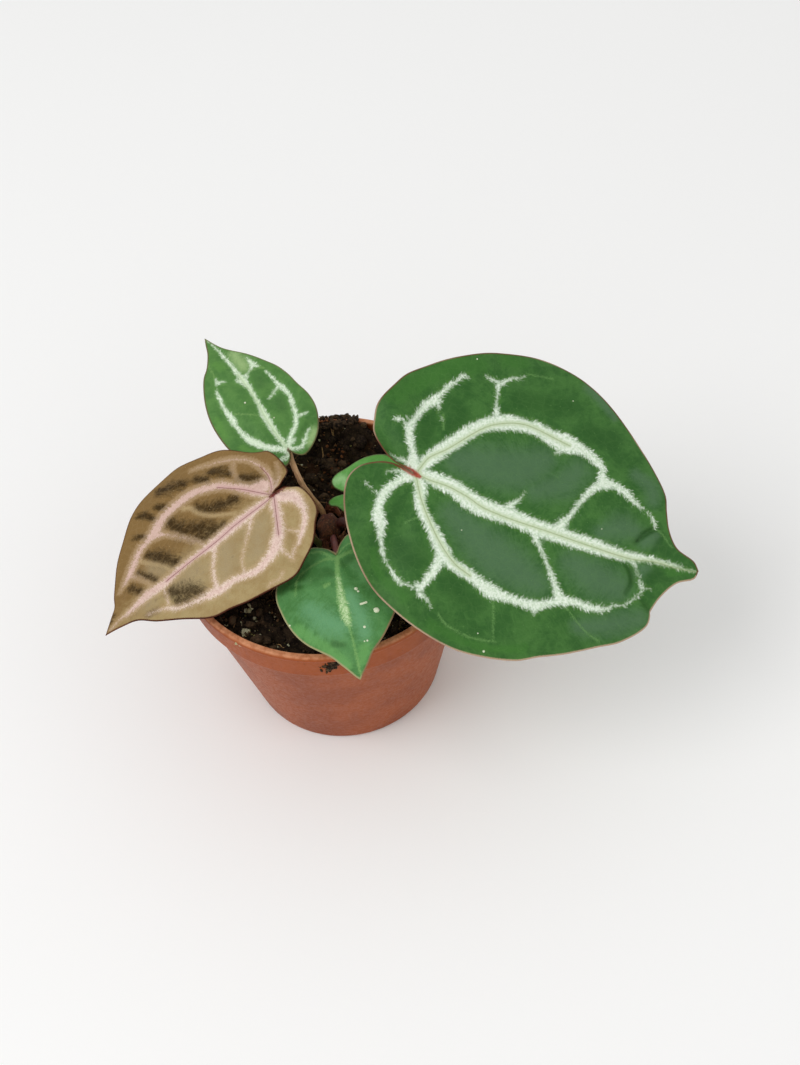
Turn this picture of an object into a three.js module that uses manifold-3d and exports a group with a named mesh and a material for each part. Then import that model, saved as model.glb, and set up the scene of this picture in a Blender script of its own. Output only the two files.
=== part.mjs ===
// A potted crystal anthurium: five heart-shaped leaves on thin stalks, rising from a short crown
// in a nine centimetre nursery pot of dark peat.
// Millimetres, +Z up. The origin is the centre of the pot's foot, and -Y is the front.

import * as THREE from "three";
import { mergeVertices } from "three/addons/utils/BufferGeometryUtils.js";
import Module from "manifold-3d";

const wasm = await Module();
wasm.setup();

// Pot
const POT_HEIGHT = 70;
const RIM_RADIUS = 45.2;
const LIP_HEIGHT = 2;
const BAND_BOTTOM = 59;
const BAND_RADIUS = 44.6;
const WALL_TOP_RADIUS = 42.6;
const FOOT_RADIUS = 31;
const WALL = 1.2;
const FLOOR = 1.6;
const ROUND_SIDES = 44;
const DRAIN_HOLES = 8;
const DRAIN_RADIUS = 3.2;
const DRAIN_CIRCLE = 22;
const CLEAR = 0.35;

// Soil and crown
const SOIL_LEVEL = 65;
const MOUND = { x: 10.5, y: 38.5, rise: 6, spread: 6 };
const BANK = { direction: 96, spread: 20, radius: 42.5, depth: 5, rise: 4.8 };
const CRUMBS = 26;
const CROWN = { x: 1, y: 2.5, wide: 5, deep: 7.2, bottom: 50, top: 71 };
const SHEATHS = 6;

// Leaves
const BLADE_THICKNESS = 0.8;
const VEIN_THICKNESS = 0.6;
const VEIN_CLEAR = 0.5;
const VEIN_STEP = 4;

// A leaf has its own axes: x runs from the top of the stalk to the tip, y to the left, z out of
// the upper face. Left and right are the two edges from the tip back to the notch. A vein has a
// width at its start and end, and the points of its middle line.
const LEAVES = [
  {
    name: "large_leaf",
    place: [28.4, -7.3, 100], heading: -19.4, dip: 15.4, roll: 21.6,
    length: 84.5, arch: 7, dome: 5, wave: 1.3, waves: 9, puff: 0.8,
    edgeSteps: 30, rings: [0.14, 0.3, 0.46, 0.62, 0.77, 0.9, 1],
    tip: [84.5, 1.5], notch: [-1.5, 0.3],
    left: [[82.5, 3.5], [76.5, 5.5], [73, 9.5], [71, 14.5], [69.5, 19.5], [64, 26.5], [57.5, 32.5],
      [50, 38], [41, 43.2], [33, 46.3], [22.5, 47.5], [11.5, 44.5], [1.5, 39], [-5.5, 34.5],
      [-11.5, 29], [-14.5, 23], [-17, 16.5], [-16.5, 12], [-15.5, 8.5], [-12, 4.5], [-8.5, 1.9]],
    right: [[84, -1], [79.5, -4], [76.5, -8.5], [75, -13], [75, -18], [69, -25], [63, -28.7],
      [54, -34], [47.5, -37], [42.5, -39.5], [32.5, -41.5], [24, -42], [14, -40.5], [5.5, -37.5],
      [-2.5, -33], [-10, -26], [-15.5, -17], [-18, -10.5], [-18, -6], [-16, -2], [-11.5, 0.5],
      [-7.5, 1.1]],
    veins: [
      { width: [4.6, 1.2], line: [[0, 0], [9, -2], [21, -3], [40, -3.5], [61.5, -2], [82, 0.5]] },
      { width: [5, 1.4], line: [[0, 0], [4, 7.5], [9.5, 15.5], [17.5, 23], [26.5, 25], [34, 24.5],
        [41, 23.5], [48, 21.5], [56, 17], [64, 13.5], [68.5, 9.5]] },
      { width: [1.8, 2.4], line: [[51.5, 19], [47.5, 11], [44.5, 5.5], [43, -3]] },
      { width: [1.6, 1], line: [[17.5, 24], [14, 33], [17, 37.5], [21, 40.5], [28.5, 42.5]] },
      { width: [2.7, 1], line: [[0, 0], [-5, 8.5], [-7, 14], [-5.5, 20], [-2.5, 23.5], [0, 28.5],
        [5, 33.5]] },
      { width: [3.8, 1], line: [[0, 0], [3, -7.5], [7, -13.5], [12, -19], [18, -22], [25, -23.5],
        [34, -25], [42.5, -24.5], [49.5, -20], [56.5, -19], [62, -18], [67.5, -13.5],
        [70, -10], [65.5, -3.5]] },
      { width: [2.4, 1.8], line: [[38, -3.5], [41, -11.5], [44.5, -16], [48.5, -20.5]] },
      { width: [2.4, 1], line: [[12.5, -19.5], [11.5, -26.5], [10.5, -30], [15.5, -34]] },
      { width: [2.7, 1], line: [[0, 0], [-5.5, -5], [-7.5, -10], [-6.5, -15], [-4, -20.5],
        [-1.5, -24], [2, -28], [5, -29.5], [11, -29.5]] },
    ],
    stalk: { radius: 1.4, knee: 7, route: [[3, 3, 64.5], [5.5, 1.5, 71], [10.5, -5, 75],
      [16, -11, 80.5], [23, -11, 88]] },
    colour: 0x24502a, veinColour: 0xbfd6bb, stalkColour: 0x6f4a34, roughness: 0.5,
  },
  {
    name: "bronze_leaf",
    place: [-13.4, -0.5, 90], heading: -149, dip: 16.9, roll: 0.6,
    length: 62.5, arch: 4, dome: 3, wave: 1, waves: 8, puff: 0.7,
    edgeSteps: 22, rings: [0.2, 0.42, 0.64, 0.84, 1],
    tip: [62.5, -3], notch: [-1.2, 0.1],
    left: [[57.5, -1], [52.5, 1.5], [48, 6.5], [41.5, 12], [35, 17], [29.5, 19], [23, 22.5],
      [16, 24.5], [10, 25], [5, 23], [-0.5, 21], [-4.5, 16.5], [-7.5, 12], [-8, 7], [-6.5, 2.5],
      [-4.5, 0.5]],
    right: [[58, -6.7], [55.7, -8.7], [54, -12], [48.7, -18.7], [42, -24], [35.5, -28.5], [29, -31.5],
      [20, -32.8], [15.3, -32.3], [8.5, -28.5], [2.5, -24.5], [-2.5, -19], [-7, -14], [-8, -11],
      [-8.5, -6], [-7.5, -2.5], [-4, -0.2]],
    veins: [
      { width: [2.4, 1], line: [[0, 0], [9.5, -1], [24, -1.5], [40.5, -2.5], [55.5, -4], [60.5, -3]] },
      { width: [2, 1], line: [[0, 0], [4, -5], [9, -13], [15, -19], [21.5, -21.5], [28.5, -21],
        [32.5, -18.5], [38, -17.5], [44.5, -15], [52, -10]] },
      { width: [1.8, 1], line: [[0, 0], [-3, -5], [-3.5, -10], [-1, -16.5], [4.5, -21.5], [10, -25],
        [18, -29]] },
      { width: [1.2, 1.2], line: [[1, -18.5], [5, -13], [9.5, -13.5]] },
      { width: [1.4, 1.4], line: [[32.5, -19], [28.5, -10.5], [23.5, -1.5]] },
      { width: [2, 1], line: [[0, 0], [2.5, 5], [5.5, 10.5], [9.5, 14], [14.5, 16], [21, 15],
        [27, 13.5], [38, 11], [43.5, 6.5], [50, 3]] },
      { width: [1.4, 1.4], line: [[21.5, -1.5], [26, 5.5], [30.5, 13]] },
      { width: [1.2, 1], line: [[10.5, -1], [15, 7.5], [18.5, 10.5], [19.5, 15.5]] },
      { width: [1, 1], line: [[41, -2.5], [43, 7]] },
      { width: [1.8, 1], line: [[0, 0], [-4, 5.5], [-4, 10.5], [-1.5, 15], [2.5, 18.5], [7, 20.5]] },
      { width: [1, 1], line: [[6, 10.5], [1, 14], [-1.5, 15.5]] },
      { width: [1, 1], line: [[9, 13.5], [7, 20.5]] },
    ],
    stalk: { radius: 1.1, knee: 6, route: [[-1.5, -2, 64.5], [-3.2, -3.8, 71], [-7.5, -3, 79]] },
    colour: 0x6e5637, veinColour: 0xc9a39a, stalkColour: 0x5c7a3a, roughness: 0.55,
  },
  {
    name: "upper_leaf",
    place: [-8.6, 19.7, 86], heading: 119.6, dip: -9.7, roll: -4.6,
    length: 49, arch: 2, dome: 2, wave: 0.5, waves: 6, puff: 0.5,
    edgeSteps: 18, rings: [0.24, 0.5, 0.76, 1],
    tip: [49, -0.5], notch: [-1, 0],
    left: [[46.5, 0.6], [43, 2], [38.5, 5], [36, 7.5], [31.5, 10.3], [26.5, 12.5], [21, 14],
      [14.5, 14.5], [8.5, 14.2], [3.5, 12.5], [-1, 9.5], [-4.5, 6], [-5, 3.7], [-4, 1.7],
      [-2.4, 0.4]],
    right: [[43, -3], [36, -8.5], [31, -11.5], [27, -13.5], [22.5, -14.5], [18, -14.8], [12, -15.5],
      [7.5, -15], [3, -13], [-1.5, -9.5], [-4, -6], [-4.5, -2.5], [-3.3, -0.9], [-2, -0.3]],
    veins: [
      { width: [1.6, 0.8], line: [[0, 0], [7.5, -0.5], [15.5, -1], [28, -2], [41, -1.5], [47, -0.7]] },
      { width: [1.3, 0.8], line: [[0, 0], [3, 3], [6, 5.5], [10, 7.5], [15, 8], [25.5, 8], [29.5, 7],
        [32.5, 5.5], [38, 4]] },
      { width: [0.8, 0.8], line: [[32.5, 6], [31, 2.5]] },
      { width: [1.3, 0.8], line: [[0, 0], [3, -3.5], [6.5, -7], [11.5, -9.5], [16.5, -11],
        [21, -10], [26.5, -9.5], [32, -7.5], [35, -7]] },
      { width: [0.9, 0.9], line: [[28, -1.5], [30, -4.5], [31.5, -8]] },
      { width: [0.8, 0.8], line: [[20, -10.5], [17.5, -5]] },
      { width: [0.8, 0.8], line: [[7.5, -7], [7, -11.5]] },
      { width: [0.9, 0.8], line: [[0, 0], [-2, -3.5], [0, -6.5], [4.5, -11]] },
    ],
    stalk: { radius: 0.9, knee: 2.4, route: [[0, 6, 64.5], [-0.7, 7.7, 70], [-3.6, 9.6, 75.5],
      [-5.9, 12.2, 79.5]] },
    colour: 0x3f7a3e, veinColour: 0xc4dcbb, stalkColour: 0x8a6a45, roughness: 0.5,
  },
  {
    name: "lower_leaf",
    place: [3.7, -19.8, 83], heading: -83.9, dip: 10.7, roll: 1.2,
    length: 37, arch: 2, dome: 2, wave: 0.7, waves: 6, puff: 0.5,
    edgeSteps: 18, rings: [0.24, 0.5, 0.76, 1],
    tip: [37, -0.5], notch: [-1, -0.2],
    left: [[33, 2.5], [30, 4.5], [27, 7.5], [23, 10.5], [19.5, 12.7], [15, 14.7], [9.5, 16],
      [4.5, 15.5], [0, 13], [-4, 9], [-6.5, 6], [-6.5, 3.7], [-4.4, 1.4], [-2, 0.2]],
    right: [[36, -1.5], [34, -3], [31.5, -5], [29, -7], [26.5, -10], [24, -13], [21, -15.5],
      [17, -17.5], [13.5, -18.5], [9.5, -19.2], [5.5, -18.7], [1.5, -17], [-1.5, -14],
      [-3.5, -10.5], [-4.2, -7], [-4.2, -4.5], [-3.4, -2.3], [-1.9, -0.8]],
    veins: [
      { width: [1.3, 0.8], line: [[0, 0], [4, -1], [10.5, -1], [18, -1], [26, -0.8], [35, -0.3]] },
      { width: [1, 0.8], line: [[0, 0], [0.5, -5], [2, -8.5], [4, -12], [7, -13.5], [13, -13]] },
      { width: [1, 0.8], line: [[0, 0], [0, 4.5], [1.5, 8.5], [4.5, 11.5], [9, 12]] },
      { width: [0.8, 0.8], line: [[0, 0], [-3, -5.5], [-2, -8]] },
    ],
    stalk: { radius: 1, knee: 3, route: [[2, -1.5, 64.5], [2.3, -4, 71], [2.9, -11, 77.5]] },
    colour: 0x2e6b3f, veinColour: 0x9fc39a, stalkColour: 0x6b2a26, roughness: 0.45,
  },
  {
    name: "young_leaf",
    place: [9.2, 4.6, 80], heading: -25.7, dip: -9.8, roll: 19.5,
    length: 24, arch: 1, dome: 1, wave: 0.3, waves: 5, puff: 0.3,
    edgeSteps: 14, rings: [0.33, 0.68, 1],
    tip: [24, 0.5], notch: [-1.2, 0],
    left: [[20.5, 4], [16, 8.5], [11.5, 12], [6.8, 13.8], [2.4, 12.8], [-1.2, 10.8], [-4.5, 8],
      [-7, 5.5], [-7.7, 3], [-6.5, 1.3], [-4, 0.4]],
    right: [[20.5, -3], [15, -6.5], [9, -8], [3, -7.5], [-1.5, -5.5], [-3.7, -4.6],
      [-5.7, -4.6], [-6.9, -3.5], [-6, -1.8], [-3.6, -0.5]],
    veins: [
      { width: [1, 0.8], line: [[0, 0], [8, 0.3], [16, 0.5], [22, 0.5]] },
      { width: [0.9, 0.8], line: [[0, 0], [2.5, 5.5], [8, 8.5], [14, 7.5]] },
      { width: [0.9, 0.8], line: [[0, 0], [3, -4], [9, -5.5], [14, -4.5]] },
    ],
    stalk: { radius: 0.8, knee: 2.6, route: [[4.6, 6, 64.5], [6.2, 6, 71]] },
    colour: 0x5b9a4e, veinColour: 0xa9cf9c, stalkColour: 0x7a4636, roughness: 0.45,
  },
];

const plain = (colour, roughness) => new THREE.MeshStandardMaterial({
  color: colour, roughness, metalness: 0,
});

// A seeded draw between 0 and 1, the same in every run
let seed = 41;
function draw() {
  seed = (seed * 16807) % 2147483647;
  return seed / 2147483647;
}

// Geometry to solid and back, for cutting and joining
function signedVolume(position, index) {
  const [a, b, c] = [new THREE.Vector3(), new THREE.Vector3(), new THREE.Vector3()];
  let sum = 0;
  for (let i = 0; i < index.length; i += 3) {
    a.fromBufferAttribute(position, index[i]);
    b.fromBufferAttribute(position, index[i + 1]);
    c.fromBufferAttribute(position, index[i + 2]);
    sum += a.dot(b.cross(c)) / 6;
  }
  return sum;
}

function solid(geometry) {
  geometry.deleteAttribute("normal");
  geometry.deleteAttribute("uv");
  const merged = mergeVertices(geometry, 1e-4);
  const { position } = merged.attributes;
  const triangles = [];
  for (let i = 0; i < merged.index.count; i += 3) {
    const [a, b, c] = [0, 1, 2].map((k) => merged.index.getX(i + k));
    if (a !== b && b !== c && c !== a) triangles.push(a, b, c);
  }
  if (signedVolume(position, triangles) < 0) triangles.reverse();
  return new wasm.Manifold(new wasm.Mesh({
    numProp: 3,
    vertProperties: new Float32Array(position.array),
    triVerts: new Uint32Array(triangles),
  }));
}

function geometryOf(body) {
  const { vertProperties, triVerts } = body.getMesh();
  const geometry = new THREE.BufferGeometry();
  geometry.setAttribute("position", new THREE.BufferAttribute(new Float32Array(vertProperties), 3));
  geometry.setIndex(new THREE.BufferAttribute(new Uint32Array(triVerts), 1));
  geometry.computeVertexNormals();
  return geometry;
}

function part(name, body, material) {
  const mesh = new THREE.Mesh(geometryOf(body), material);
  mesh.name = name;
  return mesh;
}

// Turned about the upright axis, from pairs of radius and height
function turned(profile, sides) {
  const points = profile.map(([radius, height]) => new THREE.Vector2(radius, height));
  return solid(new THREE.LatheGeometry(points, sides).rotateX(Math.PI / 2));
}

// The pot: tapered wall, overhanging rim band with a rolled lip, flat floor with drain holes
function buildPot() {
  const bandTop = POT_HEIGHT - LIP_HEIGHT;
  const profile = [
    [0, 0], [FOOT_RADIUS - 0.8, 0], [FOOT_RADIUS, 0.9],
    [WALL_TOP_RADIUS, BAND_BOTTOM - 0.6], [BAND_RADIUS - 0.7, BAND_BOTTOM],
    [BAND_RADIUS - 0.3, BAND_BOTTOM + 0.8], [BAND_RADIUS, bandTop - 0.5],
    [RIM_RADIUS, bandTop + 0.2], [RIM_RADIUS, POT_HEIGHT - 0.6], [RIM_RADIUS - 0.6, POT_HEIGHT],
    [BAND_RADIUS - WALL - 0.1, POT_HEIGHT], [BAND_RADIUS - WALL - 0.3, POT_HEIGHT - 0.6],
    [BAND_RADIUS - WALL - 0.5, BAND_BOTTOM + 2], [WALL_TOP_RADIUS - WALL, BAND_BOTTOM - 1.5],
    [FOOT_RADIUS - WALL, FLOOR], [0, FLOOR],
  ];
  let pot = turned(profile, ROUND_SIDES);
  for (let i = 0; i < DRAIN_HOLES; i += 1) {
    const angle = (2 * Math.PI * (i + 0.5)) / DRAIN_HOLES;
    const drill = new THREE.CylinderGeometry(DRAIN_RADIUS, DRAIN_RADIUS, 4 * FLOOR, 12);
    drill.rotateX(Math.PI / 2);
    drill.translate(DRAIN_CIRCLE * Math.cos(angle), DRAIN_CIRCLE * Math.sin(angle), FLOOR / 2);
    pot = pot.subtract(solid(drill));
  }
  return pot;
}

// The soil: a plug that fills the pot, with a lumpy top that is banked up to the rim at the back
function soilHeight(x, y) {
  const back = Math.hypot(x - MOUND.x, y - MOUND.y) / MOUND.spread;
  const turn = ((180 / Math.PI) * Math.atan2(y, x) - BANK.direction) / BANK.spread;
  const out = (Math.hypot(x, y) - BANK.radius) / BANK.depth;
  const heap = 1.4 * Math.exp(-(x * x + y * y) / 500);
  const lumps = 0.7 * Math.sin(0.42 * x + 1.3) * Math.cos(0.47 * y)
    + 0.5 * Math.sin(0.83 * x - 0.36 * y) + 0.4 * Math.cos(0.29 * x + 0.91 * y);
  return SOIL_LEVEL + heap + lumps + MOUND.rise * Math.exp(-back * back)
    + BANK.rise * Math.exp(-turn * turn - out * out);
}

function buildSoil(holes) {
  const bandInside = BAND_RADIUS - WALL - 0.5 - CLEAR - 0.1;
  const topRadii = [5, 11, 17, 23, 28, 33, 37, 40.5, bandInside];
  const sideRings = [[bandInside, BAND_BOTTOM + 2.4],
    [WALL_TOP_RADIUS - WALL - CLEAR - 0.1, BAND_BOTTOM - 1.5],
    [FOOT_RADIUS - WALL - CLEAR - 0.1, FLOOR + CLEAR]];
  const position = [0, 0, soilHeight(0, 0)];
  const addRing = (radius, heightAt) => {
    for (let i = 0; i < ROUND_SIDES; i += 1) {
      const angle = (2 * Math.PI * i) / ROUND_SIDES;
      const [x, y] = [radius * Math.cos(angle), radius * Math.sin(angle)];
      position.push(x, y, heightAt(x, y));
    }
  };
  topRadii.forEach((radius) => addRing(radius, soilHeight));
  sideRings.forEach(([radius, height]) => addRing(radius, () => height));
  const ringCount = topRadii.length + sideRings.length;
  const index = [];
  const at = (ring, i) => 1 + ring * ROUND_SIDES + (i % ROUND_SIDES);
  for (let i = 0; i < ROUND_SIDES; i += 1) {
    index.push(0, at(0, i), at(0, i + 1));
    for (let ring = 1; ring < ringCount; ring += 1) {
      index.push(at(ring - 1, i), at(ring, i), at(ring, i + 1));
      index.push(at(ring - 1, i), at(ring, i + 1), at(ring - 1, i + 1));
    }
  }
  const bottom = position.length / 3;
  position.push(0, 0, FLOOR + CLEAR);
  for (let i = 0; i < ROUND_SIDES; i += 1) {
    index.push(bottom, at(ringCount - 1, i + 1), at(ringCount - 1, i));
  }
  const geometry = new THREE.BufferGeometry();
  geometry.setAttribute("position", new THREE.Float32BufferAttribute(position, 3));
  geometry.setIndex(index);
  let soil = solid(geometry);

  // Crumbs of peat and bark, each half sunk, clear of the crown
  for (let i = 0; i < CRUMBS; i += 1) {
    const size = 1.2 + 1.6 * draw();
    const radius = 13 + 25 * Math.sqrt(draw());
    const angle = 2 * Math.PI * draw();
    const [x, y] = [radius * Math.cos(angle), radius * Math.sin(angle)];
    const crumb = new THREE.IcosahedronGeometry(size, 0);
    crumb.scale(1, 0.6 + 0.5 * draw(), 0.55);
    crumb.rotateZ(Math.PI * draw());
    crumb.translate(x, y, soilHeight(x, y) - 0.2 * size);
    soil = soil.add(solid(crumb));
  }
  return holes.reduce((body, hole) => body.subtract(hole), soil);
}

// The crown: a short upright stem wrapped in dry pointed sheaths, set in a plain hole in the soil
function crownStub(grow) {
  const { x, y, wide, deep, bottom, top } = CROWN;
  const profile = [
    [0, bottom - grow], [0.5, bottom - grow], [0.72, bottom + 6], [0.95, top - 9],
    [1, top - 4], [0.75, top - 1], [0, top],
  ];
  const geometry = new THREE.LatheGeometry(profile.map(([r, z]) => new THREE.Vector2(r, z)), 12);
  geometry.rotateX(Math.PI / 2);
  geometry.scale(wide + grow, deep + grow, 1);
  geometry.translate(x, y, 0);
  return solid(geometry);
}

function buildCrown(stalkHoles) {
  let crown = crownStub(0);
  for (let i = 0; i < SHEATHS; i += 1) {
    const angle = (2 * Math.PI * (i + 0.35)) / SHEATHS;
    const height = 6 + 3 * draw();
    const sheath = new THREE.ConeGeometry(1.9, height, 5);
    sheath.scale(1, 1, 0.6);
    sheath.rotateX(Math.PI / 2);
    sheath.translate(0, 0, height / 2 - 1.5);
    sheath.rotateY(0.3);
    sheath.rotateZ(angle);
    sheath.translate(
      CROWN.x + 0.55 * CROWN.wide * Math.cos(angle),
      CROWN.y + 0.55 * CROWN.deep * Math.sin(angle),
      CROWN.top - 3.4,
    );
    crown = crown.add(solid(sheath));
  }
  return stalkHoles.reduce((body, hole) => body.subtract(hole), crown);
}

// A leaf's place and turn: heading about the upright axis, then the dip of its tip, then roll
const radians = THREE.MathUtils.degToRad;

function leafTurn(leaf) {
  return new THREE.Euler(radians(leaf.roll), radians(leaf.dip), radians(leaf.heading), "ZYX");
}

// A stalk: a round tube from the crown to just under the blade, thicker at the knee
function stalkPath(leaf, sink) {
  const up = new THREE.Vector3(0, 0, 1).applyEuler(leafTurn(leaf));
  const top = new THREE.Vector3(...leaf.place);
  const route = leaf.stalk.route.map((point) => new THREE.Vector3(...point));
  route[0].z -= sink;
  const knee = top.clone().addScaledVector(up, -leaf.stalk.knee);
  const end = top.clone().addScaledVector(up, -BLADE_THICKNESS - CLEAR - 0.05);
  return new THREE.CatmullRomCurve3([...route, knee, end], false, "centripetal");
}

function tube(path, radius, steps, sides) {
  const ring = new THREE.Shape();
  for (let i = 0; i < sides; i += 1) {
    const angle = (2 * Math.PI * i) / sides;
    const [x, y] = [radius * Math.cos(angle), radius * Math.sin(angle)];
    if (i === 0) ring.moveTo(x, y);
    else ring.lineTo(x, y);
  }
  ring.closePath();
  return solid(new THREE.ExtrudeGeometry(ring, { steps, extrudePath: path }));
}

function buildStalk(leaf) {
  const path = stalkPath(leaf, 0);
  const kneeStart = path.getPointAt(0.86);
  const knee = new THREE.CatmullRomCurve3([kneeStart, path.getPointAt(0.93), path.getPointAt(1)]);
  return tube(path, leaf.stalk.radius, 12, 8).add(tube(knee, 1.25 * leaf.stalk.radius, 3, 8));
}

// A blade's outline, from the notch up the left edge to the tip and back down the right edge
function outline(leaf) {
  const flat = ([x, y]) => new THREE.Vector3(x, y, 0);
  const edge = (points) => new THREE.CatmullRomCurve3(points.map(flat), false, "centripetal");
  const left = edge([leaf.notch, ...[...leaf.left].reverse(), leaf.tip]);
  const right = edge([leaf.tip, ...leaf.right, leaf.notch]);
  const steps = leaf.edgeSteps;
  return [...left.getSpacedPoints(steps).slice(0, -1), ...right.getSpacedPoints(steps).slice(0, -1)];
}

// Height of a blade's upper face: it bows down to the tip and edges, swells between its ribs and
// waves along its edge. Reach is 0 at the stalk and 1 at the edge.
function bladeHeight(leaf, x, y, reach) {
  const turn = Math.atan2(y, x);
  const bow = leaf.arch * (Math.max(x, 0) / leaf.length) ** 2 + leaf.dome * (y / 40) ** 2;
  const swell = leaf.puff * Math.sin(Math.PI * reach) ** 2 * Math.cos(6 * turn);
  const ripple = leaf.wave * reach ** 3 * Math.sin(leaf.waves * turn + 0.6);
  return swell + ripple - bow;
}

// A blade: rings of points from the stalk out to the edge, split alike on its two faces
function bladeGeometry(leaf) {
  const edge = outline(leaf);
  const count = edge.length;
  const position = [];
  const addPoint = (x, y, reach) => {
    const z = bladeHeight(leaf, x, y, reach);
    position.push(x, y, z, x, y, z - BLADE_THICKNESS);
  };
  addPoint(0, 0, 0);
  leaf.rings.forEach((reach) => {
    edge.forEach((point) => addPoint(reach * point.x, reach * point.y, reach));
  });
  const at = (ring, i, face) => 2 * (1 + ring * count + (i % count)) + face;
  const index = [];
  const bothFaces = (a, b, c) => {
    index.push(a, c, b, a + 1, b + 1, c + 1);
  };
  for (let i = 0; i < count; i += 1) {
    bothFaces(0, at(0, i, 0), at(0, i + 1, 0));
    for (let ring = 1; ring < leaf.rings.length; ring += 1) {
      bothFaces(at(ring - 1, i, 0), at(ring, i, 0), at(ring, i + 1, 0));
      bothFaces(at(ring - 1, i, 0), at(ring, i + 1, 0), at(ring - 1, i + 1, 0));
    }
    const last = leaf.rings.length - 1;
    const [a, b] = [at(last, i, 0), at(last, i + 1, 0)];
    index.push(a, b, b + 1, a, b + 1, a + 1);
  }
  const geometry = new THREE.BufferGeometry();
  geometry.setAttribute("position", new THREE.Float32BufferAttribute(position, 3));
  geometry.setIndex(index);
  return geometry;
}

// The height of a blade's faceted upper face at one place, so that its veins lie along it
function faceHeight(geometry, x, y) {
  const { position } = geometry.attributes;
  const { array } = geometry.index;
  const p = new THREE.Vector3(x, y, 0);
  const corners = [new THREE.Vector3(), new THREE.Vector3(), new THREE.Vector3()];
  for (let i = 0; i < array.length; i += 3) {
    const upper = array[i] % 2 === 0 && array[i + 1] % 2 === 0 && array[i + 2] % 2 === 0;
    if (upper) {
      const heights = [0, 1, 2].map((k) => {
        corners[k].fromBufferAttribute(position, array[i + k]);
        const height = corners[k].z;
        corners[k].z = 0;
        return height;
      });
      const share = new THREE.Vector3();
      const found = THREE.Triangle.getBarycoord(p, ...corners, share);
      if (found && Math.min(share.x, share.y, share.z) > -1e-6) {
        return share.x * heights[0] + share.y * heights[1] + share.z * heights[2];
      }
    }
  }
  return undefined;
}

// The veins: raised bands along the middle lines, joined in one net that lies on the blade
function buildVeins(leaf, blade) {
  const bands = leaf.veins.map(({ width, line }) => {
    const curve = new THREE.CatmullRomCurve3(line.map(([x, y]) => new THREE.Vector3(x, y, 0)));
    const steps = Math.max(2, Math.round(curve.getLength() / VEIN_STEP));
    const position = [];
    for (let i = 0; i <= steps; i += 1) {
      const middle = curve.getPointAt(i / steps);
      const along = curve.getTangentAt(i / steps);
      const half = THREE.MathUtils.lerp(width[0], width[1], i / steps) / 2;
      [1, -1].forEach((side) => {
        const x = middle.x - side * half * along.y;
        const y = middle.y + side * half * along.x;
        const z = faceHeight(blade, x, y);
        position.push(x, y, z + VEIN_CLEAR, x, y, z + VEIN_CLEAR + VEIN_THICKNESS);
      });
    }
    // Corners of a cross-section: 0 left low, 1 left high, 2 right low, 3 right high
    const index = [0, 2, 3, 0, 3, 1];
    for (let i = 0; i < steps; i += 1) {
      [[0, 1], [1, 3], [3, 2], [2, 0]].forEach(([from, to]) => {
        const [a, b, c, d] = [4 * i + from, 4 * i + to, 4 * i + 4 + to, 4 * i + 4 + from];
        index.push(a, b, c, a, c, d);
      });
    }
    const end = 4 * steps;
    index.push(end, end + 3, end + 2, end, end + 1, end + 3);
    const geometry = new THREE.BufferGeometry();
    geometry.setAttribute("position", new THREE.Float32BufferAttribute(position, 3));
    geometry.setIndex(index);
    return solid(geometry);
  });
  return bands.reduce((net, band) => net.add(band));
}

const plant = new THREE.Group();

const stalkHoles = LEAVES.map((leaf) => {
  const path = stalkPath(leaf, CLEAR);
  return tube(path, leaf.stalk.radius + CLEAR, 12, 8);
});

plant.add(part("pot", buildPot(), plain(0xb35a38, 0.45)));
plant.add(part("soil", buildSoil([crownStub(0.4), ...stalkHoles]), plain(0x2a211b, 0.95)));
plant.add(part("crown", buildCrown(stalkHoles), plain(0x4a2a20, 0.8)));

LEAVES.forEach((leaf) => {
  const blade = bladeGeometry(leaf);
  const group = new THREE.Group();
  group.position.set(...leaf.place);
  group.rotation.copy(leafTurn(leaf));
  const veins = buildVeins(leaf, blade);
  group.add(part(`${leaf.name}_blade`, solid(blade), plain(leaf.colour, leaf.roughness)));
  group.add(part(`${leaf.name}_veins`, veins, plain(leaf.veinColour, leaf.roughness)));
  plant.add(group);
  plant.add(part(`${leaf.name}_stalk`, buildStalk(leaf), plain(leaf.stalkColour, 0.5)));
});

export default plant;
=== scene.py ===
# A potted crystal anthurium: heart-shaped velvety leaves with silver veins, on thin stalks from a
# short crown in a terracotta-coloured nursery pot of dark peat.
# Metres, +Z up. Shapes are worked out in millimetres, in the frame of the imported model, and are
# scaled when a mesh is made.

import math

import bpy
import numpy as np
from mathutils import Euler, Matrix, Vector, noise


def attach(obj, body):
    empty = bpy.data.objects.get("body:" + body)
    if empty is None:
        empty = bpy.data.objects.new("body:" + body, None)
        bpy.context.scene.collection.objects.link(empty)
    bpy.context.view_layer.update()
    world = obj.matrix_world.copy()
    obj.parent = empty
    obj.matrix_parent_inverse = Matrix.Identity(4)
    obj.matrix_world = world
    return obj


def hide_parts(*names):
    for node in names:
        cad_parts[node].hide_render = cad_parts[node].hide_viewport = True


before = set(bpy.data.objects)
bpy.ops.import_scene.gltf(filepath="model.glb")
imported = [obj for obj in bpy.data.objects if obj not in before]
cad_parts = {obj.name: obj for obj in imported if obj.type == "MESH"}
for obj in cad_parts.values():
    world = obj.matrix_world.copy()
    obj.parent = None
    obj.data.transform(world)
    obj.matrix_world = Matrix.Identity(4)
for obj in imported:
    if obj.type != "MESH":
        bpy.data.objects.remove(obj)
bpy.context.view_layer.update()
scene = bpy.context.scene

MM = 0.001

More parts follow.
